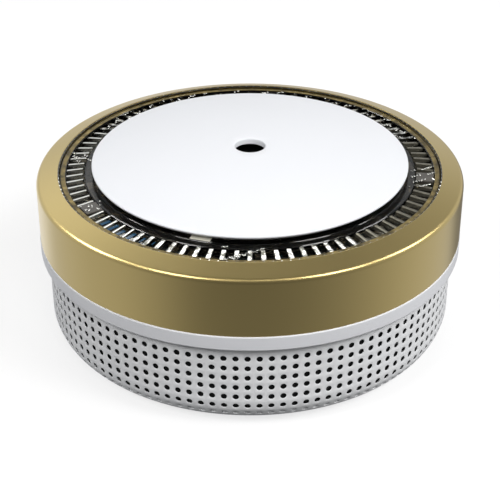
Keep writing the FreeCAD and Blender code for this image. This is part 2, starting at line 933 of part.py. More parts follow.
def build_deck(doc, size):
    """Black inner deck: a plate on a wall, with guide bosses for the push plate's stems."""
    body = new_body(doc, "inner_deck")
    revolve(
        body,
        "deck_turn",
        [
            (0, size.deck_bottom),
            (size.deck_radius - size.deck_wall, size.deck_bottom),
            (size.deck_radius - size.deck_wall, size.shelf_top),
            (size.deck_radius, size.shelf_top),
            (size.deck_radius, size.deck_top),
            (0, size.deck_top),
        ],
    )
    guide_outline = new_sketch(body, "guide_outline", "XY_Plane", size.deck_bottom)
    draw_circle(guide_outline, 0, size.stem_circle, size.guide_radius)
    guide = pad(body, "guide", guide_outline, size.guide_top - size.deck_bottom)
    bore_outline = new_sketch(body, "guide_bore_outline", "XY_Plane", size.guide_top)
    draw_circle(bore_outline, 0, size.stem_circle, size.stem_radius + size.guide_clearance)
    bore = pocket(body, "guide_bore", bore_outline, size.guide_top - size.deck_bottom)
    repeat_round(body, "guides", [guide, bore], 3)
    boss_outline = new_sketch(body, "deck_boss_outline", "XY_Plane", size.deck_boss_bottom)
    angle = size.deck_screw_angle
    spot = (size.deck_screw_circle * cosine(angle), size.deck_screw_circle * sine(angle))
    draw_circle(boss_outline, *spot, size.deck_boss_radius)
    boss = pad(body, "deck_boss", boss_outline, size.deck_top - size.deck_boss_bottom)
    thread_outline = new_sketch(body, "deck_thread_outline", "XY_Plane", size.deck_top)
    draw_circle(thread_outline, *spot, size.small_screw_radius)
    thread = pocket(body, "deck_thread", thread_outline, size.deck_top - size.deck_boss_bottom)
    repeat_round(body, "deck_bosses", [boss, thread], 3)
    return body


def build_light_board(doc, size):
    """Ring-shaped board under the lens, with holes for the guides and its screws."""
    body = new_body(doc, "light_board")
    revolve(
        body,
        "light_board_turn",
        [
            (size.light_board_hole, size.deck_top),
            (size.light_board_radius, size.deck_top),
            (size.light_board_radius, size.light_board_top),
            (size.light_board_hole, size.light_board_top),
        ],
    )
    thickness = size.light_board_top - size.deck_top
    guide_outline = new_sketch(body, "guide_hole_outline", "XY_Plane", size.light_board_top)
    draw_circle(guide_outline, 0, size.stem_circle, size.guide_radius + size.fit_gap * 2)
    guide_hole = pocket(body, "guide_hole", guide_outline, thickness)
    screw_outline = new_sketch(body, "board_screw_outline", "XY_Plane", size.light_board_top)
    angle = size.deck_screw_angle
    spot = (size.deck_screw_circle * cosine(angle), size.deck_screw_circle * sine(angle))
    draw_circle(screw_outline, *spot, size.small_screw_radius + size.fit_gap)
    screw_hole = pocket(body, "board_screw_hole", screw_outline, thickness)
    repeat_round(body, "light_board_holes", [guide_hole, screw_hole], 3)
    return body


def build_leds(doc, size):
    """Indicator lights in a circle under the lens ribs."""
    leds = []
    count = int(size.led_count.value)
    side = size.led_size
    inner = size.led_circle - side / 2
    for number in range(count):
        turn = 360 / count * number
        led = (side, side, size.led_height, inner, turn, size.light_board_top)
        leds.append(radial_box(doc, f"led_{number}", *led))
    return group(doc, "status_leds", leds)


def build_switch(doc, size):
    """Tactile switch under the push plate: its case on the board and its moving plunger."""
    half = size.switch_side / 2
    case = box(
        doc,
        "switch_blank",
        size.switch_side,
        size.switch_side,
        size.switch_top - size.light_board_top,
        (-half, size.switch_offset - half, size.light_board_top),
    )
    well_bottom = size.plunger_bottom - size.press_travel - size.fit_gap * 2
    well = cylinder(
        doc,
        "switch_well",
        size.plunger_radius + size.guide_clearance,
        size.switch_top - well_bottom + size.drill_overrun,
        (0, size.switch_offset, well_bottom),
    )
    plunger = cylinder(
        doc,
        "switch_plunger",
        size.plunger_radius,
        size.plunger_top - size.plunger_bottom,
        (0, size.switch_offset, size.plunger_bottom),
    )
    return [cut(doc, "switch_case", case, [well]), plunger]


def build_sounder(doc, size):
    """Sounder under the centre hole: a round case with a port, and the disc that vibrates."""
    body = new_body(doc, "sounder_case")
    inner = size.sounder_radius - size.sounder_wall
    ledge = size.piezo_radius - size.piezo_ledge
    revolve(
        body,
        "sounder_turn",
        [
            (size.sounder_port, size.sounder_top),
            (size.sounder_port, size.sounder_top - size.sounder_wall),
            (inner, size.sounder_top - size.sounder_wall),
            (inner, size.piezo_bottom),
            (ledge, size.piezo_bottom),
            (ledge, size.deck_top),
            (size.sounder_radius, size.deck_top),
            (size.sounder_radius, size.sounder_top),
        ],
    )
    seat = (0, 0, size.piezo_bottom)
    piezo = cylinder(doc, "piezo_disc", size.piezo_radius, size.piezo_thickness, seat)
    return [body, piezo]


# ---- main board and what it carries ----


def build_main_board(doc, size):
    """Round main board on the frame's shelf."""
    body = new_body(doc, "main_board")
    outline = new_sketch(body, "board_outline", "XY_Plane", size.board_bottom)
    draw_circle(outline, 0, 0, size.board_radius)
    thickness = size.board_top - size.board_bottom
    pad(body, "board_plate", outline, thickness)
    hole_outline = new_sketch(body, "board_hole_outline", "XY_Plane", size.board_top)
    draw_circle(hole_outline, size.board_boss_circle, 0, size.small_screw_radius + size.fit_gap)
    hole = pocket(body, "board_hole", hole_outline, thickness)
    repeat_round(body, "board_holes", [hole], 3)
    return body


def build_upper_parts(doc, size):
    """Battery and radio module on top of the main board."""
    battery = box(
        doc,
        "battery_pack",
        size.battery_width,
        size.battery_length,
        size.battery_height,
        (-size.battery_width / 2, size.battery_rear - size.battery_length, size.board_top),
    )
    radio = box(
        doc,
        "radio_module",
        size.radio_width,
        size.radio_length,
        size.radio_height,
        (size.radio_left, size.radio_front, size.board_top),
    )
    header = box(
        doc,
        "board_header",
        size.header_width,
        size.header_length,
        size.deck_bottom - size.board_top,
        (-size.header_width / 2, size.header_front, size.board_top),
    )
    return [battery, radio, header]


def build_particle_sensor(doc, size):
    """Dust sensor: a case with a fan bay and two ports, its metal lid, laser and fan."""
    half = size.dust_length / 2
    wall = size.dust_wall
    case_top = size.dust_bottom + size.dust_case_height
    blank = box(
        doc,
        "dust_blank",
        size.dust_width,
        size.dust_length,
        size.dust_case_height,
        (size.dust_left, -half, size.dust_bottom),
    )
    bay_floor = size.dust_bottom + wall
    bay_height = size.dust_case_height - wall
    fan_bay = cylinder(doc, "fan_bay", size.fan_bay_radius, bay_height, (size.fan_centre, 0, bay_floor))
    right_room = size.dust_left + size.dust_width - wall
    channel_left = size.fan_centre + size.fan_bay_radius - wall
    channel = box(
        doc,
        "air_channel",
        right_room - channel_left,
        size.channel_width,
        bay_height,
        (channel_left, -size.channel_width / 2, bay_floor),
    )
    optics = box(
        doc,
        "optics_bay",
        size.optics_width,
        size.dust_length - wall * 2,
        bay_height - size.optics_rise,
        (size.optics_left, -half + wall, bay_floor + size.optics_rise),
    )
    inlet = box(
        doc,
        "dust_inlet",
        size.channel_width,
        wall * 2,
        size.port_height,
        (size.optics_left, -half - wall, bay_floor + size.optics_rise),
    )
    outlet = box(
        doc,
        "dust_outlet",
        wall * 5,
        size.channel_width,
        size.port_height,
        (size.dust_left - wall, -size.channel_width / 2, bay_floor + wall * 2),
    )
    case = cut(doc, "particle_sensor_case", blank, [fan_bay, channel, optics, inlet, outlet])
    lid = box(
        doc,
        "particle_sensor_lid",
        size.dust_width,
        size.dust_length,
        size.dust_lid_height,
        (size.dust_left, -half, case_top),
    )
    shaft = cylinder(
        doc,
        "fan_shaft",
        size.shaft_radius,
        case_top - bay_floor - size.fit_gap * 4,
        (size.fan_centre, 0, bay_floor),
    )
    laser = cylinder(
        doc,
        "laser_diode",
        size.laser_radius,
        size.laser_height,
        (size.optics_left + size.laser_inset, half - size.laser_inset, bay_floor + size.optics_rise),
    )
    return [case, lid, shaft, laser, build_fan(doc, size)]


def build_fan(doc, size):
    """Small fan rotor: a hub with a bore and straight blades, free on its shaft."""
    body = new_body(doc, "fan_rotor")
    hub_outline = new_sketch(body, "hub_outline", "XY_Plane")
    draw_circle(hub_outline, 0, 0, size.fan_hub_radius)
    pad(body, "hub", hub_outline, size.fan_height)
    blade_outline = new_sketch(body, "blade_outline", "XY_Plane")
    half = size.fan_blade_thickness / 2
    root_radius = size.fan_hub_radius - size.overlap
    draw_outline(
        blade_outline,
        [
            (root_radius, -half),
            (size.fan_blade_radius, -half),
            (size.fan_blade_radius, half),
            (root_radius, half),
        ],
    )
    blade = pad(body, "blade", blade_outline, size.fan_height)
    repeat_round(body, "blades", [blade], size.fan_blades)
    bore_outline = new_sketch(body, "bore_outline", "XY_Plane", size.fan_height)
    draw_circle(bore_outline, 0, 0, size.shaft_radius + size.shaft_clearance)
    body.Tip = pocket(body, "bore", bore_outline, size.fan_height)
    place(body, size.fan_centre, 0, size.fan_bottom)
    return body


def build_gas_sensors(doc, size):
    """Carbon dioxide cell, odour sensor and humidity sensor under the main board."""
    cell = box(
        doc,
        "carbon_dioxide_sensor",
        size.gas_width,
        size.gas_length,
        size.gas_height,
        (size.gas_left, -size.gas_length / 2, size.board_bottom - size.gas_height),
    )
    side = size.small_sensor_side
    height = size.small_sensor_height
    low = size.board_bottom - height
    odour_corner = (size.odour_left, size.odour_front, low)
    odour = box(doc, "odour_sensor", side, side, height, odour_corner)
    humidity_corner = (size.humidity_left, size.humidity_front, low)
    humidity = box(doc, "humidity_sensor", side, side, height, humidity_corner)
    return [cell, odour, humidity]


def build_supply_socket(doc, size):
    """Supply socket at the back on its own small board, tied to the main board by pins."""
    rear = size.usb_mouth
    front = size.usb_mouth - size.usb_depth
    low = size.usb_height - size.usb_thickness / 2

    def rounded_bar(label, width, thickness, near, far):
        """A bar along Y with full round sides, between two depths."""
        reach = width / 2 - thickness / 2
        depth = far - near
        parts = [
            box(
                doc,
                label + "_core",
                reach * 2,
                depth,
                thickness,
                (-reach, near, size.usb_height - thickness / 2),
            )
        ]
        for side, across in (("left", -reach), ("right", reach)):
            end = doc.addObject("Part::Cylinder", f"{label}_{side}")
            bind(end, "Radius", thickness / 2)
            bind(end, "Height", depth)
            end.Placement.Rotation = Rotation(Vector(1, 0, 0), -90)
            place(end, across, near, size.usb_height)
            parts.append(end)
        return fuse(doc, label, parts)

    shell = rounded_bar("socket_shell", size.usb_width, size.usb_thickness, front, rear)
    cavity = rounded_bar(
        "socket_cavity",
        size.usb_width - size.usb_shell * 2,
        size.usb_thickness - size.usb_shell * 2,
        front + size.usb_back_wall,
        rear + size.drill_overrun,
    )
    hollow = cut(doc, "socket_hollow", shell, [cavity])
    tongue = box(
        doc,
        "socket_tongue",
        size.usb_tongue_width,
        size.usb_depth - size.usb_back_wall - size.overlap,
        size.usb_tongue,
        (
            -size.usb_tongue_width / 2,
            front + size.usb_back_wall - size.overlap,
            size.usb_height - size.usb_tongue / 2,
        ),
    )
    socket = fuse(doc, "usb_socket", [hollow, tongue])
    board_front = rear - size.usb_board_length - size.usb_back_wall
    board = box(
        doc,
        "usb_board",
        size.usb_width * 2,
        size.usb_board_length,
        size.usb_board_thickness,
        (-size.usb_width, board_front, low - size.usb_board_thickness),
    )
    pins = box(
        doc,
        "board_link",
        size.usb_pins_width,
        size.usb_pins_length,
        size.board_bottom - low,
        (-size.usb_pins_width / 2, board_front + size.fit_gap * 2, low),
    )
    return [socket, board, pins]


# ---- fasteners ----


def build_case_screws(doc, size):
    """Three screws from below, through flange and bayonet ring into the frame's pillars."""
    screws = []
    for turn in range(3):
        angle = size.pillar_angle + turn * 120
        spot = (
            size.pillar_circle * cosine(angle),
            size.pillar_circle * sine(angle),
            size.flange_bottom + size.fit_gap,
        )
        head = (size.screw_head_radius, size.screw_head_height)
        screws.append(
            pan_screw(doc, f"case_screw_{turn}", head, size.screw_radius, size.screw_length, spot, True)
        )
    return group(doc, "case_screws", screws)


def build_small_screws(doc, size):
    """Three screws for the main board and three for the light board."""
    head = (size.small_head_radius, size.small_head_height)
    sets = (
        ("board_screws", size.board_boss_circle, 0, size.board_top, size.board_screw_length),
        (
            "deck_screws",
            size.deck_screw_circle,
            size.deck_screw_angle,
            size.light_board_top,
            size.deck_screw_length,
        ),
    )
    groups = []
    for label, circle, start, up, length in sets:
        screws = []
        for turn in range(3):
            angle = start + 120 * turn
            spot = (circle * cosine(angle), circle * sine(angle), up)
            screws.append(
                pan_screw(doc, f"{label}_{turn}", head, size.small_screw_radius, length, spot, False)
            )
        groups.append(group(doc, label, screws))
    return groups


def check(doc, nodes):
    """Stop if any object failed, or any sub-part has no sound shape."""
    for obj in doc.Objects:
        bad = {"Invalid", "Error"} & set(obj.State)
        if bad:
            raise RuntimeError(f"{obj.Label} did not compute: {obj.State}")
    for node in nodes:
        if node.Shape.isNull() or not node.Shape.isValid() or not node.Shape.Solids:
            raise RuntimeError(f"{node.Label} has no sound shape")


def main():
    doc = FreeCAD.newDocument("air_quality_monitor")
    size = Sheet(doc)
    nodes = [
        build_trim_ring(doc, size),
        build_middle_frame(doc, size),
        build_frame_pillars(doc, size),
        build_grille(doc, size),
        build_insect_mesh(doc, size),
        build_bayonet_ring(doc, size),
        build_mounting_plate(doc, size),
        build_feet(doc, size),
        build_lens_ring(doc, size),
        build_top_disc(doc, size),
        build_disc_clips(doc, size),
        build_springs(doc, size),
        build_deck(doc, size),
        build_light_board(doc, size),
        build_leds(doc, size),
        *build_switch(doc, size),
        *build_sounder(doc, size),
        build_main_board(doc, size),
        *build_upper_parts(doc, size),
        *build_particle_sensor(doc, size),
        *build_gas_sensors(doc, size),
        *build_supply_socket(doc, size),
        build_case_screws(doc, size),
        *build_small_screws(doc, size),
    ]
    doc.recompute()
    check(doc, nodes)
    os.makedirs("parts", exist_ok=True)
    for node in nodes:
        node.Shape.exportStep(os.path.join("parts", node.Label + ".step"))
        box_size = node.Shape.BoundBox
        print(
            f"{node.Label}: {len(node.Shape.Solids)} solids, {node.Shape.Volume:.1f} mm3, "
            f"z {box_size.ZMin:.2f} to {box_size.ZMax:.2f}"
        )


main()
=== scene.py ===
"""Looks of a round air quality monitor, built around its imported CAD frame. Metres, +Z up."""

from __future__ import annotations

import json
import logging
import math
from collections.abc import Callable, Iterable
from dataclasses import dataclass, field
from enum import Enum

import bmesh
import bpy
from mathutils import Matrix, Vector

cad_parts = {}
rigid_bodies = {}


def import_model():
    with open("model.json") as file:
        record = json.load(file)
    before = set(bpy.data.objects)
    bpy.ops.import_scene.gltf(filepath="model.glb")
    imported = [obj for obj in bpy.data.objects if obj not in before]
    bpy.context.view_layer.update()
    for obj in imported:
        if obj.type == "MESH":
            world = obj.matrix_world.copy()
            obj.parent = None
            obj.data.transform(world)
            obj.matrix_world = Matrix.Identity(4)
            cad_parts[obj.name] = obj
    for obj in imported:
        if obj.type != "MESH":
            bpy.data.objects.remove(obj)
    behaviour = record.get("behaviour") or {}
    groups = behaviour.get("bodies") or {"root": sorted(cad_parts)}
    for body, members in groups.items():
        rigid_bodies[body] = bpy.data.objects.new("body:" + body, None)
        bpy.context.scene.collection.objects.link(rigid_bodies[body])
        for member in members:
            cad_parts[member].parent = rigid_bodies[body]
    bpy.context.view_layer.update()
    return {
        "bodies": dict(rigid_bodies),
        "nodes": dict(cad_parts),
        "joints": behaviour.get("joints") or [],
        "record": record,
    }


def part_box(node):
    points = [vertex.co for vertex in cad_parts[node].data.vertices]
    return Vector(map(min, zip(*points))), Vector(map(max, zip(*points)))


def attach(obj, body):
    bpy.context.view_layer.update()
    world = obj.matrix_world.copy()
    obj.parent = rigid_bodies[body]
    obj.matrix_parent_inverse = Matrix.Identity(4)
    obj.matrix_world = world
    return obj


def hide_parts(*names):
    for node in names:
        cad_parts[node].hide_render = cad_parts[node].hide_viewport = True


LOG = logging.getLogger("air_quality_monitor")
MM = 0.001
FULL_TURN = 2 * math.pi
SMOOTH_ANGLE = math.radians(38)
Point = tuple[float, float]
Colour = tuple[float, float, float]


# ---------------------------------------------------------------- shader groups


class Group(Enum):
    """The shader groups that several finishes share."""

    GRAIN = "mould_grain"
    WEAR = "edge_wear"
    TONE = "tone_drift"
    WEAVE = "fine_weave"


class ShaderGroups:
    """Builds each shared shader group once and hands it out."""

    def __init__(self) -> None:
        """Start with no group built."""
        self.trees: dict[Group, bpy.types.NodeTree] = {}

    def tree(self, group: Group) -> bpy.types.NodeTree:
        """Give a group, built on first use.

        Args:
            group: which group.

        Returns:
            The node tree.
        """
        if group not in self.trees:
            makers = {
                Group.GRAIN: self._grain,
                Group.WEAR: self._wear,
                Group.TONE: self._tone,
                Group.WEAVE: self._weave,
            }
            self.trees[group] = makers[group](group.value)
        return self.trees[group]

    @staticmethod
    def _start(name: str, inputs: dict[str, float], outputs: dict[str, str]) -> tuple:
        """Open a group with float inputs, a vector input and the named outputs.

        Args:
            name: the group's name.
            inputs: each float input and its default.
            outputs: each output and its socket type.

        Returns:
            The tree, its input node and its output node.
        """
        tree = bpy.data.node_groups.new(name, "ShaderNodeTree")
        tree.interface.new_socket("Vector", in_out="INPUT", socket_type="NodeSocketVector")
        for label, value in inputs.items():
            socket = tree.interface.new_socket(
                label, in_out="INPUT", socket_type="NodeSocketFloat"
            )
            socket.default_value = value
        for label, kind in outputs.items():
            tree.interface.new_socket(label, in_out="OUTPUT", socket_type=kind)
        return tree, tree.nodes.new("NodeGroupInput"), tree.nodes.new("NodeGroupOutput")

    def _grain(self, name: str) -> bpy.types.NodeTree:
        """Moulded grain: a fine height field and a roughness that drifts with it.

        Args:
            name: the group's name.

        Returns:
            The node tree.
        """
        tree, source, result = self._start(
            name,
            {"Scale": 2600.0, "Roughness": 0.45, "Spread": 0.08},
            {"Height": "NodeSocketFloat", "Roughness": "NodeSocketFloat"},
        )
        wires = Wires(tree)
        fine = wires.add("ShaderNodeTexNoise", Detail=3.0, Roughness=0.6)
        wires.link(source, "Vector", fine, "Vector")
        wires.link(source, "Scale", fine, "Scale")
        broad = wires.add("ShaderNodeTexNoise", Scale=70.0, Detail=2.0)
        wires.link(source, "Vector", broad, "Vector")
        drift = wires.add("ShaderNodeMath", operation="SUBTRACT")
        drift.inputs[1].default_value = 0.5
        wires.link(broad, "Fac", drift, 0)
        swing = wires.add("ShaderNodeMath", operation="MULTIPLY_ADD")
        wires.link(drift, 0, swing, 0)
        wires.link(source, "Spread", swing, 1)
        wires.link(source, "Roughness", swing, 2)
        wires.link(fine, "Fac", result, "Height")
        wires.link(swing, 0, result, "Roughness")
        return tree

    def _wear(self, name: str) -> bpy.types.NodeTree:
        """Edge wear: a mask that is 1 on sharp edges, broken up by noise.

        Args:
            name: the group's name.

        Returns:
            The node tree.
        """
        tree, source, result = self._start(
            name, {"Width": 0.0004, "Amount": 1.0}, {"Mask": "NodeSocketFloat"}
        )
        wires = Wires(tree)
        rounded = wires.add("ShaderNodeBevel", samples=4)
        wires.link(source, "Width", rounded, "Radius")
        flat = wires.add("ShaderNodeNewGeometry")
        dot = wires.add("ShaderNodeVectorMath", operation="DOT_PRODUCT")
        wires.link(rounded, "Normal", dot, 0)
        wires.link(flat, "Normal", dot, 1)
        turn = wires.add("ShaderNodeMapRange", clamp=True)
        turn.inputs["From Min"].default_value = 0.995
        turn.inputs["From Max"].default_value = 0.90
        wires.link(dot, "Value", turn, "Value")
        broken = wires.add("ShaderNodeTexNoise", Scale=420.0, Detail=4.0)
        wires.link(source, "Vector", broken, "Vector")
        both = wires.add("ShaderNodeMath", operation="MULTIPLY")
        wires.link(turn, "Result", both, 0)
        wires.link(broken, "Fac", both, 1)
        share = wires.add("ShaderNodeMath", operation="MULTIPLY")
        wires.link(both, 0, share, 0)
        wires.link(source, "Amount", share, 1)
        wires.link(share, 0, result, "Mask")
        return tree

    def _tone(self, name: str) -> bpy.types.NodeTree:
        """Tone drift: a slow mask from 0 to 1 for small colour changes over a surface.

        Args:
            name: the group's name.

        Returns:
            The node tree.
        """
        tree, source, result = self._start(
            name, {"Scale": 26.0, "Contrast": 1.0}, {"Mask": "NodeSocketFloat"}
        )
        wires = Wires(tree)
        slow = wires.add("ShaderNodeTexNoise", Detail=3.0, Roughness=0.55)
        wires.link(source, "Vector", slow, "Vector")
        wires.link(source, "Scale", slow, "Scale")
        middle = wires.add("ShaderNodeMath", operation="SUBTRACT")
        middle.inputs[1].default_value = 0.5
        wires.link(slow, "Fac", middle, 0)
        spread = wires.add("ShaderNodeMath", operation="MULTIPLY_ADD", use_clamp=True)
        spread.inputs[2].default_value = 0.5
        wires.link(middle, 0, spread, 0)
        wires.link(source, "Contrast", spread, 1)
        wires.link(spread, 0, result, "Mask")
        return tree

    def _weave(self, name: str) -> bpy.types.NodeTree:
        """Fine woven screen: crossing bands of wire as a height from 0 to 1.

        Args:
            name: the group's name.

        Returns:
            The node tree.
        """
        tree, source, result = self._start(name, {"Scale": 900.0}, {"Height": "NodeSocketFloat"})
        wires = Wires(tree)
        highest = wires.add("ShaderNodeMath", operation="MAXIMUM")
        for slot, axis in enumerate(("X", "Z")):
            band = wires.add("ShaderNodeTexWave", bands_direction=axis)
            wires.link(source, "Vector", band, "Vector")
            wires.link(source, "Scale", band, "Scale")
            wires.link(band, "Fac", highest, slot)
        wires.link(highest, 0, result, "Height")
        return tree


class Wires:
    """Adds nodes to a tree and joins them by socket name."""

    def __init__(self, tree: bpy.types.NodeTree) -> None:
        """Keep the tree that nodes are added to."""
        self.tree = tree

    def add(self, kind: str, **values: object) -> bpy.types.Node:
        """Add a node and set its properties and unlinked sockets.

        Args:
            kind: Blender's name of the node type.
            **values: property or input names with their values.

        Returns:
            The new node.
        """
        node = self.tree.nodes.new(kind)
        for label, value in values.items():
            if label in node.bl_rna.properties:
                setattr(node, label, value)
            else:
                node.inputs[label.replace("_", " ")].default_value = value
        return node

    def link(
        self, giver: bpy.types.Node, out: str | int, taker: bpy.types.Node, into: str | int
    ) -> None:
        """Join one node's output to another's input.

        Args:
            giver: the node whose output is used.
            out: the output's name or number.
            taker: the node that takes it.
            into: the input's name or number.
        """
        self.tree.links.new(giver.outputs[out], taker.inputs[into])

    def join(
        self, operation: str, one: bpy.types.Node, other: bpy.types.Node
    ) -> bpy.types.Node:
        """Join the first outputs of two nodes by a sum, a difference or a product.

        Args:
            operation: ADD, SUBTRACT or MULTIPLY.
            one: the first node.
            other: the second node.

        Returns:
            The math node.
        """
        node = self.add("ShaderNodeMath", operation=operation)
        self.link(one, 0, node, 0)
        self.link(other, 0, node, 1)
        return node

    def multiply(self, *nodes: bpy.types.Node) -> bpy.types.Node:
        """Multiply the first outputs of two or more nodes.

        Args:
            *nodes: the nodes, in order.

        Returns:
            The last math node.
        """
        product = nodes[0]
        for node in nodes[1:]:
            product = self.join("MULTIPLY", product, node)
        return product


GROUPS = ShaderGroups()


# ---------------------------------------------------------------- finishes


class Material:
    """A material being wired: its shader, its nodes and its object coordinates."""

    def __init__(self, name: str) -> None:
        """Open a material.

        Args:
            name: its name.
        """
        self.data = bpy.data.materials.new(name)
        self.data.use_nodes = True
        self.wires = Wires(self.data.node_tree)
        self.shader = self.data.node_tree.nodes["Principled BSDF"]
        self.place = self.wires.add("ShaderNodeTexCoord")

    def group(self, group: Group, **values: float) -> bpy.types.Node:
        """Place a shared group that reads object coordinates.

        Args:
            group: which group.
            **values: its inputs' names with their values.

        Returns:
            The group node.
        """
        node = self.wires.add("ShaderNodeGroup", node_tree=GROUPS.tree(group))
        for label, value in values.items():
            node.inputs[label].default_value = value
        self.wires.link(self.place, "Object", node, "Vector")
        return node

    def blend(
        self, giver: bpy.types.Node, out: str | int, first: Colour, second: Colour
    ) -> bpy.types.Node:
        """Mix two colours by a node's output.

        Args:
            giver: the node whose output is used.
            out: the output's name or number.
            first: the colour at 0.
            second: the colour at 1.

        Returns:
            The mix node.
        """
        mix = self.wires.add("ShaderNodeMix", data_type="RGBA")
        mix.inputs["A"].default_value = (*first, 1)
        mix.inputs["B"].default_value = (*second, 1)
        self.wires.link(giver, out, mix, "Factor")
        return mix

    def relief(
        self, giver: bpy.types.Node, out: str | int, strength: float, depth: float
    ) -> None:
        """Raise the surface by a node's output.

        Args:
            giver: the node whose output is used.
            out: the output's name or number.
            strength: how strong the relief is.
            depth: how deep it is, in metres.
        """
        bump = self.wires.add("ShaderNodeBump", Strength=strength, Distance=depth)
        self.wires.link(giver, out, bump, "Height")
        self.wires.link(bump, "Normal", self.shader, "Normal")

    def gloss(self, **values: float) -> bpy.types.Node:
        """Drive the roughness from the grain group.

        Args:
            **values: the group's inputs with their values.

        Returns:
            The grain node.
        """
        grain = self.group(Group.GRAIN, **values)
        self.wires.link(grain, "Roughness", self.shader, "Roughness")
        return grain


@dataclass(frozen=True)
class Finish:
    """A surface finish: two close tones, their grain, and the gloss on top."""

    name: str
    tone: Colour
    shade: Colour
    metallic: float = 0.0
    roughness: float = 0.45
    roughness_spread: float = 0.1
    grain: float = 2600.0
    bump: float = 0.02
    bump_depth: float = 0.00002
    coat: float = 0.0
    coat_roughness: float = 0.1
    sheen: float = 0.0
    specular: float = 0.5
    worn: Colour | None = None
    wear: float = 0.0
    drift: float = 26.0
    contrast: float = 1.4

    def build(self) -> bpy.types.Material:
        """Make the material.

        Returns:
            The material, with its pattern on object coordinates.
        """
        material = Material(self.name)
        plain = {
            "Metallic": self.metallic,
            "Coat Weight": self.coat,
            "Coat Roughness": self.coat_roughness,
            "Sheen Weight": self.sheen,
            "Specular IOR Level": self.specular,
        }
        for label, value in plain.items():
            material.shader.inputs[label].default_value = value
        slow = material.group(Group.TONE, Scale=self.drift, Contrast=self.contrast)
        colour = material.blend(slow, "Mask", self.shade, self.tone)
        if self.worn is not None:
            edges = material.group(Group.WEAR, Amount=self.wear)
            rubbed = material.blend(edges, "Mask", self.tone, self.worn)
            material.wires.link(colour, "Result", rubbed, "A")
            colour = rubbed
        material.wires.link(colour, "Result", material.shader, "Base Color")
        grain = material.gloss(
            Scale=self.grain, Roughness=self.roughness, Spread=self.roughness_spread
        )
        material.relief(grain, "Height", self.bump, self.bump_depth)
        return material.data


@dataclass(frozen=True)
class ClearFinish:
    """A clear moulding, tinted as smoke, with faint swirls in its gloss."""

    name: str
    tint: Colour
    deep: Colour
    roughness: float = 0.03
    roughness_spread: float = 0.03
    index: float = 1.49
    specular: float = 0.5
    swirl: float = 60.0
    swirl_contrast: float = 2.0
    grain: float = 700.0
    bump: float = 0.12
    bump_depth: float = 0.00004

    def build(self) -> bpy.types.Material:
        """Make the material.

        Returns:
            The material, with plain Metallic and Transmission values.
        """
        material = Material(self.name)
        plain = {
            "Metallic": 0.0,
            "Transmission Weight": 1.0,
            "IOR": self.index,
            "Specular IOR Level": self.specular,
        }
        for label, value in plain.items():
            material.shader.inputs[label].default_value = value
        slow = material.group(Group.TONE, Scale=self.swirl, Contrast=self.swirl_contrast)
        colour = material.blend(slow, "Mask", self.deep, self.tint)
        material.wires.link(colour, "Result", material.shader, "Base Color")
        grain = material.gloss(
            Scale=self.grain, Roughness=self.roughness, Spread=self.roughness_spread
        )
        material.relief(grain, "Height", self.bump, self.bump_depth)
        return material.data


@dataclass(frozen=True)
class BoardFinish:
    """A circuit board: solder mask over copper tracks, with bare pads."""

    name: str
    mask: Colour
    track: Colour
    pad: Colour = (0.72, 0.56, 0.26)
    track_scale: float = 320.0
    track_width: float = 0.09
    pad_width: float = 0.16
    roughness: float = 0.3
    coat: float = 0.6
    coat_roughness: float = 0.12
    bump: float = 0.4
    bump_depth: float = 0.00003

    def build(self) -> bpy.types.Material:
        """Make the material.

        Returns:
            The material, with a track pattern in relief.
        """
        material = Material(self.name)
        material.shader.inputs["Coat Weight"].default_value = self.coat
        material.shader.inputs["Coat Roughness"].default_value = self.coat_roughness
        track = self._under(material, "DISTANCE_TO_EDGE", self.track_scale, self.track_width)
        bare = self._under(material, "F1", self.track_scale * 1.1, self.pad_width)
        over = material.blend(track, 0, self.mask, self.track)
        final = material.blend(bare, 0, self.mask, self.pad)
        material.wires.link(over, "Result", final, "A")
        material.wires.link(final, "Result", material.shader, "Base Color")
        material.gloss(Roughness=self.roughness)
        material.relief(track, 0, self.bump, self.bump_depth)
        return material.data

    @staticmethod
    def _under(material: Material, feature: str, scale: float, limit: float) -> bpy.types.Node:
        """Mark where a cell pattern's distance is under a limit.

        Args:
            material: where the nodes go.
            feature: which distance the pattern gives.
            scale: the pattern's scale.
            limit: the limit.

        Returns:
            The node that gives 1 under the limit.
        """
        cells = material.wires.add("ShaderNodeTexVoronoi", feature=feature)
        cells.inputs["Scale"].default_value = scale
        material.wires.link(material.place, "Object", cells, "Vector")
        under = material.wires.add("ShaderNodeMath", operation="LESS_THAN")
        under.inputs[1].default_value = limit
        material.wires.link(cells, "Distance", under, 0)
        return under


@dataclass(frozen=True)
class WovenFinish:
    """A fine woven screen."""

    name: str
    wire: Colour
    gap: Colour
    specular: float = 0.08
    roughness: float = 0.6
    bump: float = 0.6
    bump_depth: float = 0.0001

    def build(self) -> bpy.types.Material:
        """Make the material.

        Returns:
            The material, with the weave as colour and relief.
        """
        material = Material(self.name)
        material.shader.inputs["Specular IOR Level"].default_value = self.specular
        weave = material.group(Group.WEAVE)
        colour = material.blend(weave, "Height", self.gap, self.wire)
        material.wires.link(colour, "Result", material.shader, "Base Color")
        material.gloss(Roughness=self.roughness)
        material.relief(weave, "Height", self.bump, self.bump_depth)
        return material.data


AnyFinish = Finish | ClearFinish | BoardFinish | WovenFinish

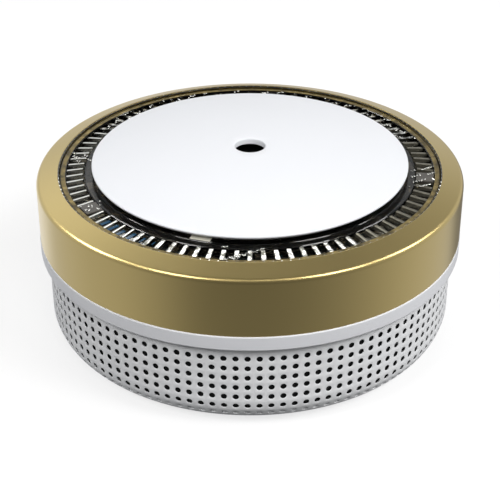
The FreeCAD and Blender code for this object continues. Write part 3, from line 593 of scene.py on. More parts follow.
WHITE_DISC = Finish(
    "satin_white_plate", (0.755, 0.765, 0.79), (0.74, 0.75, 0.775), roughness=0.42, grain=3000.0,
    bump=0.03, coat=0.15, coat_roughness=0.3,
)
WHITE_FRAME = Finish(
    "satin_white_frame", (0.76, 0.765, 0.79), (0.73, 0.735, 0.76), roughness=0.4, bump=0.03
)
WHITE_GRILLE = Finish(
    "matt_white_grille", (0.85, 0.855, 0.86), (0.77, 0.775, 0.79), roughness=0.55, bump=0.35,
    grain=1500.0, bump_depth=0.00006, drift=500.0,
)
BASE_WHITE = Finish(
    "grained_white_base", (0.66, 0.67, 0.68), (0.62, 0.63, 0.65), roughness=0.6, bump=0.25,
    grain=1600.0, bump_depth=0.00006,
)
GOLD = Finish(
    "champagne_gold", (0.735, 0.57, 0.235), (0.70, 0.54, 0.215), metallic=1.0, roughness=0.29,
    roughness_spread=0.06, grain=5200.0, bump=0.05, bump_depth=0.00001, coat=0.3,
    coat_roughness=0.22, worn=(0.86, 0.74, 0.42), wear=0.35,
)
BLACK = Finish(
    "black_moulding", (0.018, 0.018, 0.02), (0.012, 0.012, 0.013), roughness=0.5, bump=0.3,
    grain=1800.0, bump_depth=0.00005,
)
FAN_GREY = Finish("fan_grey", (0.05, 0.055, 0.06), (0.04, 0.042, 0.05), roughness=0.4)
RUBBER = Finish(
    "soft_rubber", (0.045, 0.045, 0.047), (0.035, 0.035, 0.036), roughness=0.85, bump=0.5,
    grain=2200.0, bump_depth=0.00008, sheen=0.3,
)
STEEL = Finish(
    "zinc_steel", (0.62, 0.63, 0.66), (0.54, 0.55, 0.58), metallic=1.0, roughness=0.28,
    worn=(0.8, 0.8, 0.82), wear=0.6,
)
TINPLATE = Finish(
    "tin_plate", (0.66, 0.67, 0.68), (0.58, 0.59, 0.61), metallic=1.0, roughness=0.34, drift=90.0,
    bump=0.15,
)
BRASS = Finish(
    "brass_sheet", (0.78, 0.60, 0.28), (0.70, 0.52, 0.24), metallic=1.0, roughness=0.3, drift=120.0
)
GILT = Finish(
    "gilt_cell", (0.83, 0.64, 0.27), (0.76, 0.57, 0.23), metallic=1.0, roughness=0.22, drift=80.0
)
CERAMIC = Finish(
    "pale_ceramic", (0.62, 0.58, 0.48), (0.52, 0.48, 0.4), roughness=0.35, drift=400.0
)
FOIL = Finish(
    "pouch_foil", (0.50, 0.51, 0.53), (0.42, 0.43, 0.45), metallic=0.7, roughness=0.38, bump=0.5,
    grain=240.0, bump_depth=0.0002,
)
SMOKE = ClearFinish(
    "smoked_clear", (0.44, 0.40, 0.33), (0.34, 0.32, 0.27), roughness=0.05, specular=0.12
)
RIB_SILVER = Finish(
    "silvered_ribs", (0.98, 0.97, 0.92), (0.72, 0.72, 0.66), metallic=1.0, roughness=0.14,
    drift=700.0, bump=0.2, grain=1500.0, bump_depth=0.00004,
)
# painted glints: a silver rib finish whose high-contrast tone breaks the front and back ribs into
# bright and near-black pieces, standing in for broken highlights
RIB_PAINTED_GLINTS = Finish(
    "silver_ribs_painted_glints", (0.92, 0.91, 0.86), (0.12, 0.12, 0.10), metallic=1.0, roughness=0.12,
    drift=620.0, contrast=5.0, bump=0.3, grain=1500.0, bump_depth=0.00005,
)
# painted shade: a darker copy of the silver rib finish, used on the right side's ribs to stand in
# for their shade
RIB_PAINTED_SHADE = Finish(
    "silver_ribs_painted_shade", (0.34, 0.32, 0.25), (0.16, 0.15, 0.12), metallic=0.8, roughness=0.2,
    drift=700.0, bump=0.2, grain=1500.0, bump_depth=0.00004,
)
BLUE_BOARD = BoardFinish("night_blue_board", (0.006, 0.016, 0.03), (0.01, 0.05, 0.09))
GREEN_BOARD = BoardFinish("green_board", (0.006, 0.07, 0.035), (0.012, 0.12, 0.06))
TAUPE = Finish(
    "taupe_block", (0.10, 0.092, 0.078), (0.06, 0.056, 0.05), roughness=0.2, drift=300.0
)
# painted shade: the black of the seal and line that stand in for the shade in the gap between lens
# and trim
SEAL_PAINTED_GAP_SHADE = Finish("glossy_seal_painted_gap_shade", (0.012, 0.012, 0.012), (0.02, 0.02, 0.02), roughness=0.16, coat=0.6)
# painted reflection: a gold-brown tone with dark patches on the lens's outer land, standing in for
# the gold trim's reflection in it
LAND_PAINTED_GOLD_REFLECTION = Finish(
    "land_painted_gold_reflection", (0.40, 0.30, 0.11), (0.09, 0.07, 0.03), metallic=0.8, roughness=0.28,
    drift=420.0, contrast=3.0,
)
BLUE_FILM = Finish(
    "blue_film", (0.02, 0.10, 0.20), (0.01, 0.045, 0.10), roughness=0.3, drift=300.0
)
LABEL = Finish("paper_label", (0.88, 0.85, 0.72), (0.7, 0.68, 0.58), roughness=0.7, drift=900.0)
SCREEN = WovenFinish("dark_screen", (0.012, 0.012, 0.012), (0.002, 0.002, 0.002))


class Paint:
    """Builds each finish once and puts it on objects."""

    def __init__(self) -> None:
        """Start with no finish built."""
        self.made: dict[str, bpy.types.Material] = {}

    def get(self, finish: AnyFinish) -> bpy.types.Material:
        """Give a finish's material, built on first use.

        Args:
            finish: which finish.

        Returns:
            The material.
        """
        if finish.name not in self.made:
            self.made[finish.name] = finish.build()
        return self.made[finish.name]

    def coat(self, piece: bpy.types.Object, finish: AnyFinish) -> None:
        """Put one finish on a whole object.

        Args:
            piece: the object.
            finish: its finish.
        """
        piece.data.materials.clear()
        piece.data.materials.append(self.get(finish))


PAINT = Paint()


# ---------------------------------------------------------------- mesh work


@dataclass
class Workpiece:
    """A mesh being shaped. Sizes in its methods are millimetres."""

    steps: int = 240
    bm: bmesh.types.BMesh = field(default_factory=bmesh.new)

    def turn(self, outline: Iterable[Point], steps: int | None = None) -> Workpiece:
        """Spin a closed outline of (radius, height) points once round Z.

        Args:
            outline: the corners in order. Points at radius 0 become poles.
            steps: how many steps the turn has.

        Returns:
            This workpiece.
        """
        verts = [self.bm.verts.new((radius * MM, 0, height * MM)) for radius, height in outline]
        pairs = zip(verts, verts[1:] + verts[:1])
        edges = [
            self.bm.edges.new(pair)
            for pair in pairs
            if max(pair[0].co.x, pair[1].co.x) > 1e-9
        ]
        bmesh.ops.spin(
            self.bm, geom=verts + edges, cent=(0, 0, 0), axis=(0, 0, 1), angle=FULL_TURN,
            steps=steps or self.steps, use_merge=True,
        )
        return self.tidy()

    def turn_open(self, outline: list[Point], steps: int, start: float) -> Workpiece:
        """Spin an open outline once round Z, from a start angle in degrees.

        Args:
            outline: (radius, height) points in order.
            steps: how many steps the turn has.
            start: where the outline stands, in degrees.

        Returns:
            This workpiece.
        """
        part = bmesh.new()
        angle = math.radians(start)
        verts = [
            part.verts.new((r * MM * math.cos(angle), r * MM * math.sin(angle), z * MM))
            for r, z in outline
        ]
        edges = [part.edges.new(pair) for pair in zip(verts, verts[1:])]
        bmesh.ops.spin(
            part, geom=verts + edges, cent=(0, 0, 0), axis=(0, 0, 1), angle=FULL_TURN,
            steps=steps, use_merge=True,
        )
        return self.take(part)

    def tidy(self, gap: float = 1e-7) -> Workpiece:
        """Merge doubled points and point every face outwards.

        Args:
            gap: how far apart merged points may be, in metres.

        Returns:
            This workpiece.
        """
        bmesh.ops.remove_doubles(self.bm, verts=self.bm.verts, dist=gap)
        bmesh.ops.recalc_face_normals(self.bm, faces=self.bm.faces)
        return self

    def soften(
        self, test: Callable[[float, float], bool], width: float, segments: int = 3
    ) -> Workpiece:
        """Bevel the ring edges whose (radius, height) passes a test.

        Args:
            test: says for a radius and height, in millimetres, whether the edge is bevelled.
            width: how far the bevel reaches, in millimetres.
            segments: how many strips the bevel has.

        Returns:
            This workpiece.
        """
        chosen = []
        for edge in self.bm.edges:
            ends = [(Vector((v.co.x, v.co.y)).length / MM, v.co.z / MM) for v in edge.verts]
            same = abs(ends[0][0] - ends[1][0]) < 0.01 and abs(ends[0][1] - ends[1][1]) < 0.01
            sharp = edge.is_manifold and edge.calc_face_angle(0) > math.radians(20)
            if same and sharp and test(*ends[0]):
                chosen.append(edge)
        return self.bevel(chosen, width, segments)

    def bevel(
        self, edges: list[bmesh.types.BMEdge], width: float, segments: int = 2
    ) -> Workpiece:
        """Bevel edges of this workpiece.

        Args:
            edges: the edges.
            width: how far the bevel reaches, in millimetres.
            segments: how many strips the bevel has.

        Returns:
            This workpiece.
        """
        bmesh.ops.bevel(
            self.bm, geom=edges, offset=width * MM, offset_type="OFFSET", segments=segments,
            profile=0.5, affect="EDGES", material=-1, clamp_overlap=True,
        )
        return self

    def block(
        self, size: tuple[float, float, float], middle: tuple[float, float, float],
        turn: float = 0.0, bevel: float = 0.0, segments: int = 2, lean: float = 0.0,
    ) -> Workpiece:
        """Add a box with bevelled edges.

        Args:
            size: its lengths along X, Y and Z before the turn.
            middle: its centre after the turn.
            turn: degrees round Z through the origin, before moving to middle.
            bevel: the bevel's width.
            segments: the bevel's strips.
            lean: degrees that it leans round its own length, before the turn.

        Returns:
            This workpiece.
        """
        part = bmesh.new()
        bmesh.ops.create_cube(part, size=1.0)
        bmesh.ops.scale(part, vec=[length * MM for length in size], verts=part.verts)
        if bevel:
            bmesh.ops.bevel(
                part, geom=part.edges[:], offset=bevel * MM, offset_type="OFFSET",
                segments=segments, profile=0.5, affect="EDGES", material=-1, clamp_overlap=True,
            )
        turned = Matrix.Rotation(math.radians(turn), 3, "Z")
        leant = Matrix.Rotation(math.radians(lean), 3, "X")
        bmesh.ops.rotate(part, cent=(0, 0, 0), matrix=turned @ leant, verts=part.verts)
        bmesh.ops.translate(part, vec=[value * MM for value in middle], verts=part.verts)
        return self.take(part)

    def rod(
        self, radius: float, low: float, high: float, spot: Point = (0, 0), bevel: float = 0.0,
        sides: int = 32, top_radius: float | None = None,
    ) -> Workpiece:
        """Add an upright round bar, or a cone frustum where the top radius is given.

        Args:
            radius: its radius at the foot.
            low: height of its foot.
            high: height of its top.
            spot: its place in X and Y.
            bevel: bevel on both rims.
            sides: how many sides it has.
            top_radius: its radius at the top, if another.

        Returns:
            This workpiece.
        """
        part = bmesh.new()
        bmesh.ops.create_cone(
            part, cap_ends=True, segments=sides, radius1=radius * MM,
            radius2=(radius if top_radius is None else top_radius) * MM, depth=(high - low) * MM,
        )
        if bevel:
            rims = [e for e in part.edges if abs(e.verts[0].co.z - e.verts[1].co.z) < 1e-9]
            bmesh.ops.bevel(
                part, geom=rims, offset=bevel * MM, offset_type="OFFSET", segments=2, profile=0.5,
                affect="EDGES", material=-1, clamp_overlap=True,
            )
        middle = (spot[0] * MM, spot[1] * MM, (low + high) / 2 * MM)
        bmesh.ops.translate(part, vec=middle, verts=part.verts)
        return self.take(part)

    def take(self, part: bmesh.types.BMesh) -> Workpiece:
        """Add another bmesh's geometry to this one, and free it.

        Args:
            part: the bmesh to add.

        Returns:
            This workpiece.
        """
        mesh = bpy.data.meshes.new("joining")
        part.to_mesh(mesh)
        part.free()
        self.bm.from_mesh(mesh)
        bpy.data.meshes.remove(mesh)
        return self

    def ring_of(self, count: int, start: float = 0.0, places: int = 0) -> Workpiece:
        """Repeat the whole mesh at even steps round Z.

        Args:
            count: how many there are in all.
            start: degrees that the first one is turned by.
            places: how many would fill the turn, if that is more than there are.

        Returns:
            This workpiece.
        """
        bmesh.ops.rotate(
            self.bm, cent=(0, 0, 0), matrix=Matrix.Rotation(math.radians(start), 3, "Z"),
            verts=self.bm.verts,
        )
        if count > 1:
            bmesh.ops.spin(
                self.bm, geom=self.bm.verts[:] + self.bm.edges[:] + self.bm.faces[:],
                cent=(0, 0, 0), axis=(0, 0, 1), steps=count - 1, use_duplicate=True,
                angle=FULL_TURN * (count - 1) / (places or count),
            )
        return self

    def finish(
        self, name: str, body: str, slot: str, look: AnyFinish, *nodes: str
    ) -> bpy.types.Object:
        """Turn the mesh into a piece that rides on a body.

        Args:
            name: the piece's name.
            body: the CAD body that it moves with.
            slot: the record's material slot that the piece stands for; not used.
            look: its finish.
            *nodes: CAD nodes that it stands for.

        Returns:
            The finished object.
        """
        mesh = bpy.data.meshes.new(name)
        for face in self.bm.faces:
            face.smooth = True
        for edge in self.bm.edges:
            edge.smooth = not edge.is_manifold or edge.calc_face_angle(0) < SMOOTH_ANGLE
        self.bm.to_mesh(mesh)
        self.bm.free()
        piece = bpy.data.objects.new(name, mesh)
        bpy.context.scene.collection.objects.link(piece)
        weighted = piece.modifiers.new("even_shading", "WEIGHTED_NORMAL")
        weighted.keep_sharp = True
        weighted.weight = 70
        PAINT.coat(piece, look)
        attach(piece, body)
        if nodes:
            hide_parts(*nodes)
        LOG.info("%s: %d faces, rides on %s", name, len(mesh.polygons), body)
        return piece


def arc(centre: Point, radius: float, first: float, last: float, steps: int) -> list[Point]:
    """Points along an arc in an outline.

    Args:
        centre: its centre as (radius, height).
        radius: its own radius.
        first: the first angle in degrees, from straight outwards towards up.
        last: the last angle.
        steps: how many stretches it has.

    Returns:
        The points, both ends among them.
    """
    angles = [math.radians(first + (last - first) * step / steps) for step in range(steps + 1)]
    return [(centre[0] + radius * math.cos(a), centre[1] + radius * math.sin(a)) for a in angles]


def on_circle(radius: float, degrees: float) -> Point:
    """Find a point on a circle round the origin.

    Args:
        radius: the circle's radius.
        degrees: the point's angle from +X.

    Returns:
        Its X and Y.
    """
    angle = math.radians(degrees)
    return (radius * math.cos(angle), radius * math.sin(angle))


def span(node: str) -> tuple[Vector, Vector]:
    """Read how far a CAD node reaches.

    Args:
        node: the node's name.

    Returns:
        Its lowest and highest corners in millimetres.
    """
    low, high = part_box(node)
    return Vector(low) / MM, Vector(high) / MM


# ---------------------------------------------------------------- outer shells


@dataclass
class TrimRing:
    """The gold ring round the lens."""

    wall: float = 1.4
    shoulder_rounding: float = 1.3
    slope: float = math.radians(18.9)
    inner_radius: float = 44.9
    lip_width: float = 1.3
    lip_depth: float = 2.9
    shoulder: float = 40.05
    shoulder_reach: float = 0.676
    crown_drop: float = 0.15

    def build(self) -> None:
        """Turn the ring, with a soft shoulder and a fine bright inner edge."""
        low, high = span("trim_ring")
        radius, bottom = high.x, low.z
        rounding = self.shoulder_rounding
        shoulder = self.shoulder
        run = radius - rounding * self.shoulder_reach - self.inner_radius
        crown = shoulder + run * math.tan(self.slope) - self.crown_drop
        lip = self.inner_radius + self.lip_width
        centre = (radius - rounding, shoulder - rounding)
        outline = [
            (radius, bottom),
            *arc(centre, rounding, 0, 90 - math.degrees(self.slope), 10),
            (self.inner_radius, min(crown, high.z)),
            (self.inner_radius, high.z - self.lip_depth),
            (lip, high.z - self.lip_depth),
            (lip, high.z - self.lip_width * 1.4),
            (radius - self.wall, shoulder - self.wall),
            (radius - self.wall, bottom),
        ]
        ring = Workpiece(steps=288).turn(outline)
        ring.soften(lambda r, z: r < self.inner_radius + 0.1 and z > high.z - 0.5, 0.22, 3)
        ring.soften(lambda r, z: z < bottom + 0.1, 0.2, 2)
        ring.finish("gold_trim_ring", "housing", "gold_trim", GOLD, "trim_ring")


@dataclass
class MiddleFrame:
    """The white band with the wall, shelf, pillars and fins that it carries."""

    groove: float = 48.4
    wall_outer: float = 48.5
    wall_inner: float = 47.0
    wall_top: float = 37.5
    band_bottom: float = 22.3
    shelf_radius: float = 40.0
    shelf: tuple[float, float] = (24.9, 26.6)
    pillar_circle: float = 38.9
    pillar_radius: float = 3.0
    pillar_foot: float = 8.2
    boss_circle: float = 41.1
    boss_radius: float = 1.8
    fin: tuple[float, float, float] = (44.2, 46.9, 2.2)
    fin_foot: float = 8.4
    fin_angles: tuple[float, float] = (-99.9, -69.0)

    def build(self) -> None:
        """Turn the band and add its pillars, bosses and fins."""
        high = span("middle_frame")[1]
        band_top, band_bottom = span("trim_ring")[0].z, self.band_bottom
        frame = Workpiece(steps=288).turn(
            [
                (high.x, band_bottom),
                (high.x, band_top),
                (self.wall_outer, band_top),
                (self.wall_outer, self.wall_top),
                (self.wall_inner, self.wall_top),
                (self.wall_inner, self.shelf[1]),
                (self.shelf_radius, self.shelf[1]),
                (self.shelf_radius, self.shelf[0]),
                (self.groove, self.shelf[0]),
                (self.groove, band_bottom),
            ]
        )
        frame.soften(lambda r, z: r > high.x - 0.1, 0.4, 4)
        posts = Workpiece()
        posts.rod(
            self.pillar_radius, self.pillar_foot, self.shelf[0],
            on_circle(self.pillar_circle, 45), bevel=0.3,
        )
        boss = (self.boss_circle, 0)
        posts.rod(self.boss_radius, self.shelf[0] - 3, self.shelf[0], boss, bevel=0.2)
        inner, outer, width = self.fin
        for angle in self.fin_angles:
            height = (self.fin_foot + self.shelf[0]) / 2
            middle = (*on_circle((inner + outer) / 2 - 0.1, angle), height)
            size = (outer - inner - 0.2, width, self.shelf[0] - self.fin_foot)
            posts.block(size, middle, turn=angle, bevel=0.15)
        posts.ring_of(3)
        frame.take(posts.bm)
        frame.finish(
            "white_middle_frame", "housing", "white_frame", WHITE_FRAME, "middle_frame",
            "frame_pillars",
        )


@dataclass
class GrilleBasket:
    """The perforated basket: one hole is shaped, stacked into a strip, bent and turned round."""

    radius: float = 48.3
    wall: float = 0.36
    base: float = 0.6
    rounding: float = 7.0
    top: float = 24.8
    hole_radius: float = 0.7
    rim: float = 0.04
    bore: float = 0.12
    flare: float = 0.22
    pitch: float = 2.5
    rows: int = 7
    columns: int = 117
    first_row: float = 19.05
    first_column: float = -90.6
    flange_radius: float = 36.6
    flange: tuple[float, float] = (2.2, 4.2)
    foot_width: float = 0.3
    land_columns: int = 7
    land_rows: int = 4
    slot: tuple[float, float] = (10.0, 4.2)
    slot_height: float = 15.0
    lining_gap: float = 0.12
    lining: float = 0.1
    lining_end: float = 10.5
    lining_steps: int = 168
    lining_turn: float = -38.0

    @property
    def cell_width(self) -> float:
        """Width of one column on the outer face."""
        return FULL_TURN * self.radius / self.columns

    def bend(self, verts: Iterable[bmesh.types.BMVert]) -> None:
        """Bend flat points onto the basket.

        Args:
            verts: points whose X runs along the wall, Y down it from the first row, and
                -Z into it.
        """
        edge_height = self.base + self.rounding
        straight = self.first_row - edge_height
        for vert in verts:
            across, down, inward = vert.co.x, vert.co.y, -vert.co.z
            tilt = max(0.0, (down - straight) / self.rounding)
            reach = self.radius - self.rounding + (self.rounding - inward) * math.cos(tilt)
            height = self.first_row - min(down, straight)
            height -= (self.rounding - inward) * math.sin(tilt)
            angle = across / self.radius + math.radians(self.first_column)
            vert.co = Vector((reach * math.cos(angle), reach * math.sin(angle), height)) * MM

    def pierce(self, width: float, height: float, steps: Point, hole: Point) -> bmesh.types.BMesh:
        """Shape a flat wall panel with one rounded hole through it.

        Args:
            width: the panel's width.
            height: its height.
            steps: how many edges the panel has across and down.
            hole: the hole's width and height, with half-round ends.

        Returns:
            The open panel: outer face, softened rim, bore and inner face, centred on the origin.
        """
        part = bmesh.new()
        bmesh.ops.create_grid(part, x_segments=steps[0], y_segments=steps[1], size=0.5)
        bmesh.ops.scale(part, vec=(width, height, 1), verts=part.verts)
        near_x, near_y = width / 2 - 1e-6, height / 2 - 1e-6
        inner = [v for v in part.verts if abs(v.co.x) < near_x and abs(v.co.y) < near_y]
        bmesh.ops.delete(part, geom=inner, context="VERTS")
        bmesh.ops.delete(part, geom=part.faces[:], context="FACES_ONLY")
        border = part.edges[:]
        levels = [
            (self.rim, 0.0), (self.rim * 0.3, -self.rim * 0.35), (0.0, -self.rim),
            (0.0, -self.bore), (self.flare, -self.wall),
        ]
        loops = [border]
        for grow, depth in levels:
            loops.append(self._oval(part, len(border), hole, grow, depth))
        loops.append(self._copy_loop(part, border, -self.wall))
        for one, other in zip(loops, loops[1:]):
            bmesh.ops.bridge_loops(part, edges=one + other)
        return part

    @staticmethod
    def _oval(
        part: bmesh.types.BMesh, count: int, hole: Point, grow: float, depth: float
    ) -> list[bmesh.types.BMEdge]:
        """Add a loop with half-round ends.

        Args:
            part: the panel.
            count: how many points the loop has.
            hole: the hole's width and height.
            grow: how much further out the loop runs than the hole.
            depth: its height.

        Returns:
            The loop's edges.
        """
        radius = hole[1] / 2 + grow
        straight = (hole[0] - hole[1]) / 2
        made = bmesh.ops.create_circle(part, segments=count, radius=radius)
        bmesh.ops.rotate(
            part, cent=(0, 0, 0), matrix=Matrix.Rotation(math.pi / 4, 3, "Z"), verts=made["verts"]
        )
        for vert in made["verts"]:
            if straight:
                vert.co.x += max(-straight, min(straight, vert.co.x / radius * straight * 1.6))
            vert.co.z = depth
        return list({edge for vert in made["verts"] for edge in vert.link_edges})

    @staticmethod
    def _copy_loop(
        part: bmesh.types.BMesh, edges: list[bmesh.types.BMEdge], depth: float
    ) -> list[bmesh.types.BMEdge]:
        """Duplicate a loop at another height.

        Args:
            part: the panel.
            edges: the loop's edges.
            depth: how far to move the copy along Z.

        Returns:
            The copy's edges.
        """
        ends = {vert for edge in edges for vert in edge.verts}
        made = bmesh.ops.duplicate(part, geom=[*ends, *edges])["geom"]
        verts = [item for item in made if isinstance(item, bmesh.types.BMVert)]
        bmesh.ops.translate(part, vec=(0, 0, depth), verts=verts)
        return [item for item in made if isinstance(item, bmesh.types.BMEdge)]

    def _stack(self, panel: bmesh.types.BMesh, rows: Iterable[int]) -> Workpiece:
        """Stack a one-hole panel into a strip with a hole for each row, and bend it.

        Args:
            panel: the flat panel.
            rows: which rows of holes the strip has, from the top.

        Returns:
            The bent strip at the first column.
        """
        strip = Workpiece()
        for row in rows:
            copy = panel.copy()
            bmesh.ops.translate(copy, vec=(0, row * self.pitch, 0), verts=copy.verts)
            strip.take(copy)
        self.bend(strip.bm.verts)
        return strip

    def _bands(self) -> Workpiece:
        """Turn the plain band above the holes, and the rounded edge, foot and flange below.

        Returns:
            Both bands.
        """
        bands = Workpiece()
        steps = self.columns * 3
        inner = self.radius - self.wall
        high = self.first_row + self.pitch / 2
        rim = 0.25
        upper = [
            (self.radius, high), (self.radius, self.top - rim), (self.radius - rim, self.top),
            (inner + rim, self.top), (inner, self.top - rim), (inner, high),
        ]
        straight = self.first_row - self.base - self.rounding
        first = math.degrees(((self.rows - 0.5) * self.pitch - straight) / self.rounding)
        centre = (self.radius - self.rounding, self.base + self.rounding)
        drop = centre[1] - self.flange[1]
        hollow = self.rounding - self.wall
        last = math.degrees(math.asin(drop / hollow))
        lower = [
            *arc(centre, self.rounding, -first, -90, 8),
            (centre[0] - self.foot_width, self.base),
            (centre[0] - self.foot_width, self.flange[0]),
            (self.flange_radius, self.flange[0]),
            (self.flange_radius, self.flange[1]),
            *reversed(arc(centre, hollow, -first, -last, 2)),
        ]
        for outline in (upper, lower):
            bands.turn_open(outline, steps, self.first_column + 180 / self.columns)
        return bands

    def build(self) -> None:
        """Repeat the strips all round and set the land with the socket's slot at the back."""
        high = span("grille_basket")[1]
        self.top, self.radius = high.z, high.x
        basket = Workpiece()
        across = self.hole_radius * 2
        cell = self.pierce(self.cell_width, self.pitch, (3, 3), (across, across))
        back = round((90 - self.first_column) * self.columns / 360)
        first = back + self.land_columns // 2 + 1
        full = self._stack(cell, range(self.rows))
        full.ring_of(self.columns - self.land_columns, first * 360 / self.columns, self.columns)
        basket.take(full.bm)
        short = self._stack(cell, range(self.land_rows, self.rows))
        start = (back - self.land_columns // 2) * 360 / self.columns
        short.ring_of(self.land_columns, start, self.columns)
        basket.take(short.bm)
        wide = self.land_columns * self.cell_width
        tall = self.land_rows * self.pitch
        land = Workpiece()
        land.take(self.pierce(wide, tall, (self.land_columns * 3, self.land_rows * 3), self.slot))
        middle = (self.land_rows - 1) / 2 * self.pitch
        near_x, near_y = wide / 2 - 0.1, tall / 2 - 0.1
        hole = [v for v in land.bm.verts if abs(v.co.x) < near_x and abs(v.co.y) < near_y]
        bmesh.ops.translate(land.bm, vec=(0, middle, 0), verts=land.bm.verts)
        shift = self.first_row - self.slot_height - middle
        aside = math.radians(90 - self.first_column - back * 360 / self.columns) * self.radius
        bmesh.ops.translate(land.bm, vec=(aside, shift, 0), verts=hole)
        self.bend(land.bm.verts)
        land.ring_of(1, back * 360 / self.columns, self.columns)
        basket.take(land.bm)
        basket.take(self._bands().bm)
        basket.tidy(4e-6)
        basket.finish(
            "white_grille_basket", "housing", "white_grille", WHITE_GRILLE, "grille_basket"
        )
        self._lining()

    def _lining(self) -> None:
        """Turn a dark sheet close behind the basket's holes, which stands in for the shade inside
        them as painted shade.
        """
        centre = (self.radius - self.rounding, self.base + self.rounding)
        hollow = self.rounding - self.wall
        near, far = hollow - self.lining_gap, hollow - self.lining_gap - self.lining
        outline = [
            (centre[0] + far, self.top - 1),
            (centre[0] + near, self.top - 1),
            *arc(centre, near, 0, self.lining_turn, 8),
            *arc(centre, far, self.lining_turn, 0, 8),
        ]
        # painted shade: this dark sheet sits just behind the holes so that they read as shade
        sleeve = Workpiece()
        verts = [sleeve.bm.verts.new((reach * MM, 0, height * MM)) for reach, height in outline]
        edges = [sleeve.bm.edges.new(pair) for pair in zip(verts, verts[1:] + verts[:1])]
        bmesh.ops.spin(
            sleeve.bm, geom=verts + edges, cent=(0, 0, 0), axis=(0, 0, 1),
            steps=self.lining_steps, angle=math.radians(360 - 2 * self.lining_end),
        )
        ends = [edge for edge in sleeve.bm.edges if edge.is_boundary]
        bmesh.ops.holes_fill(sleeve.bm, edges=ends, sides=0)
        sleeve.tidy().ring_of(1, 90 + self.lining_end)
        sleeve.finish("painted_shade_lining", "housing", "dark_mesh", SCREEN)


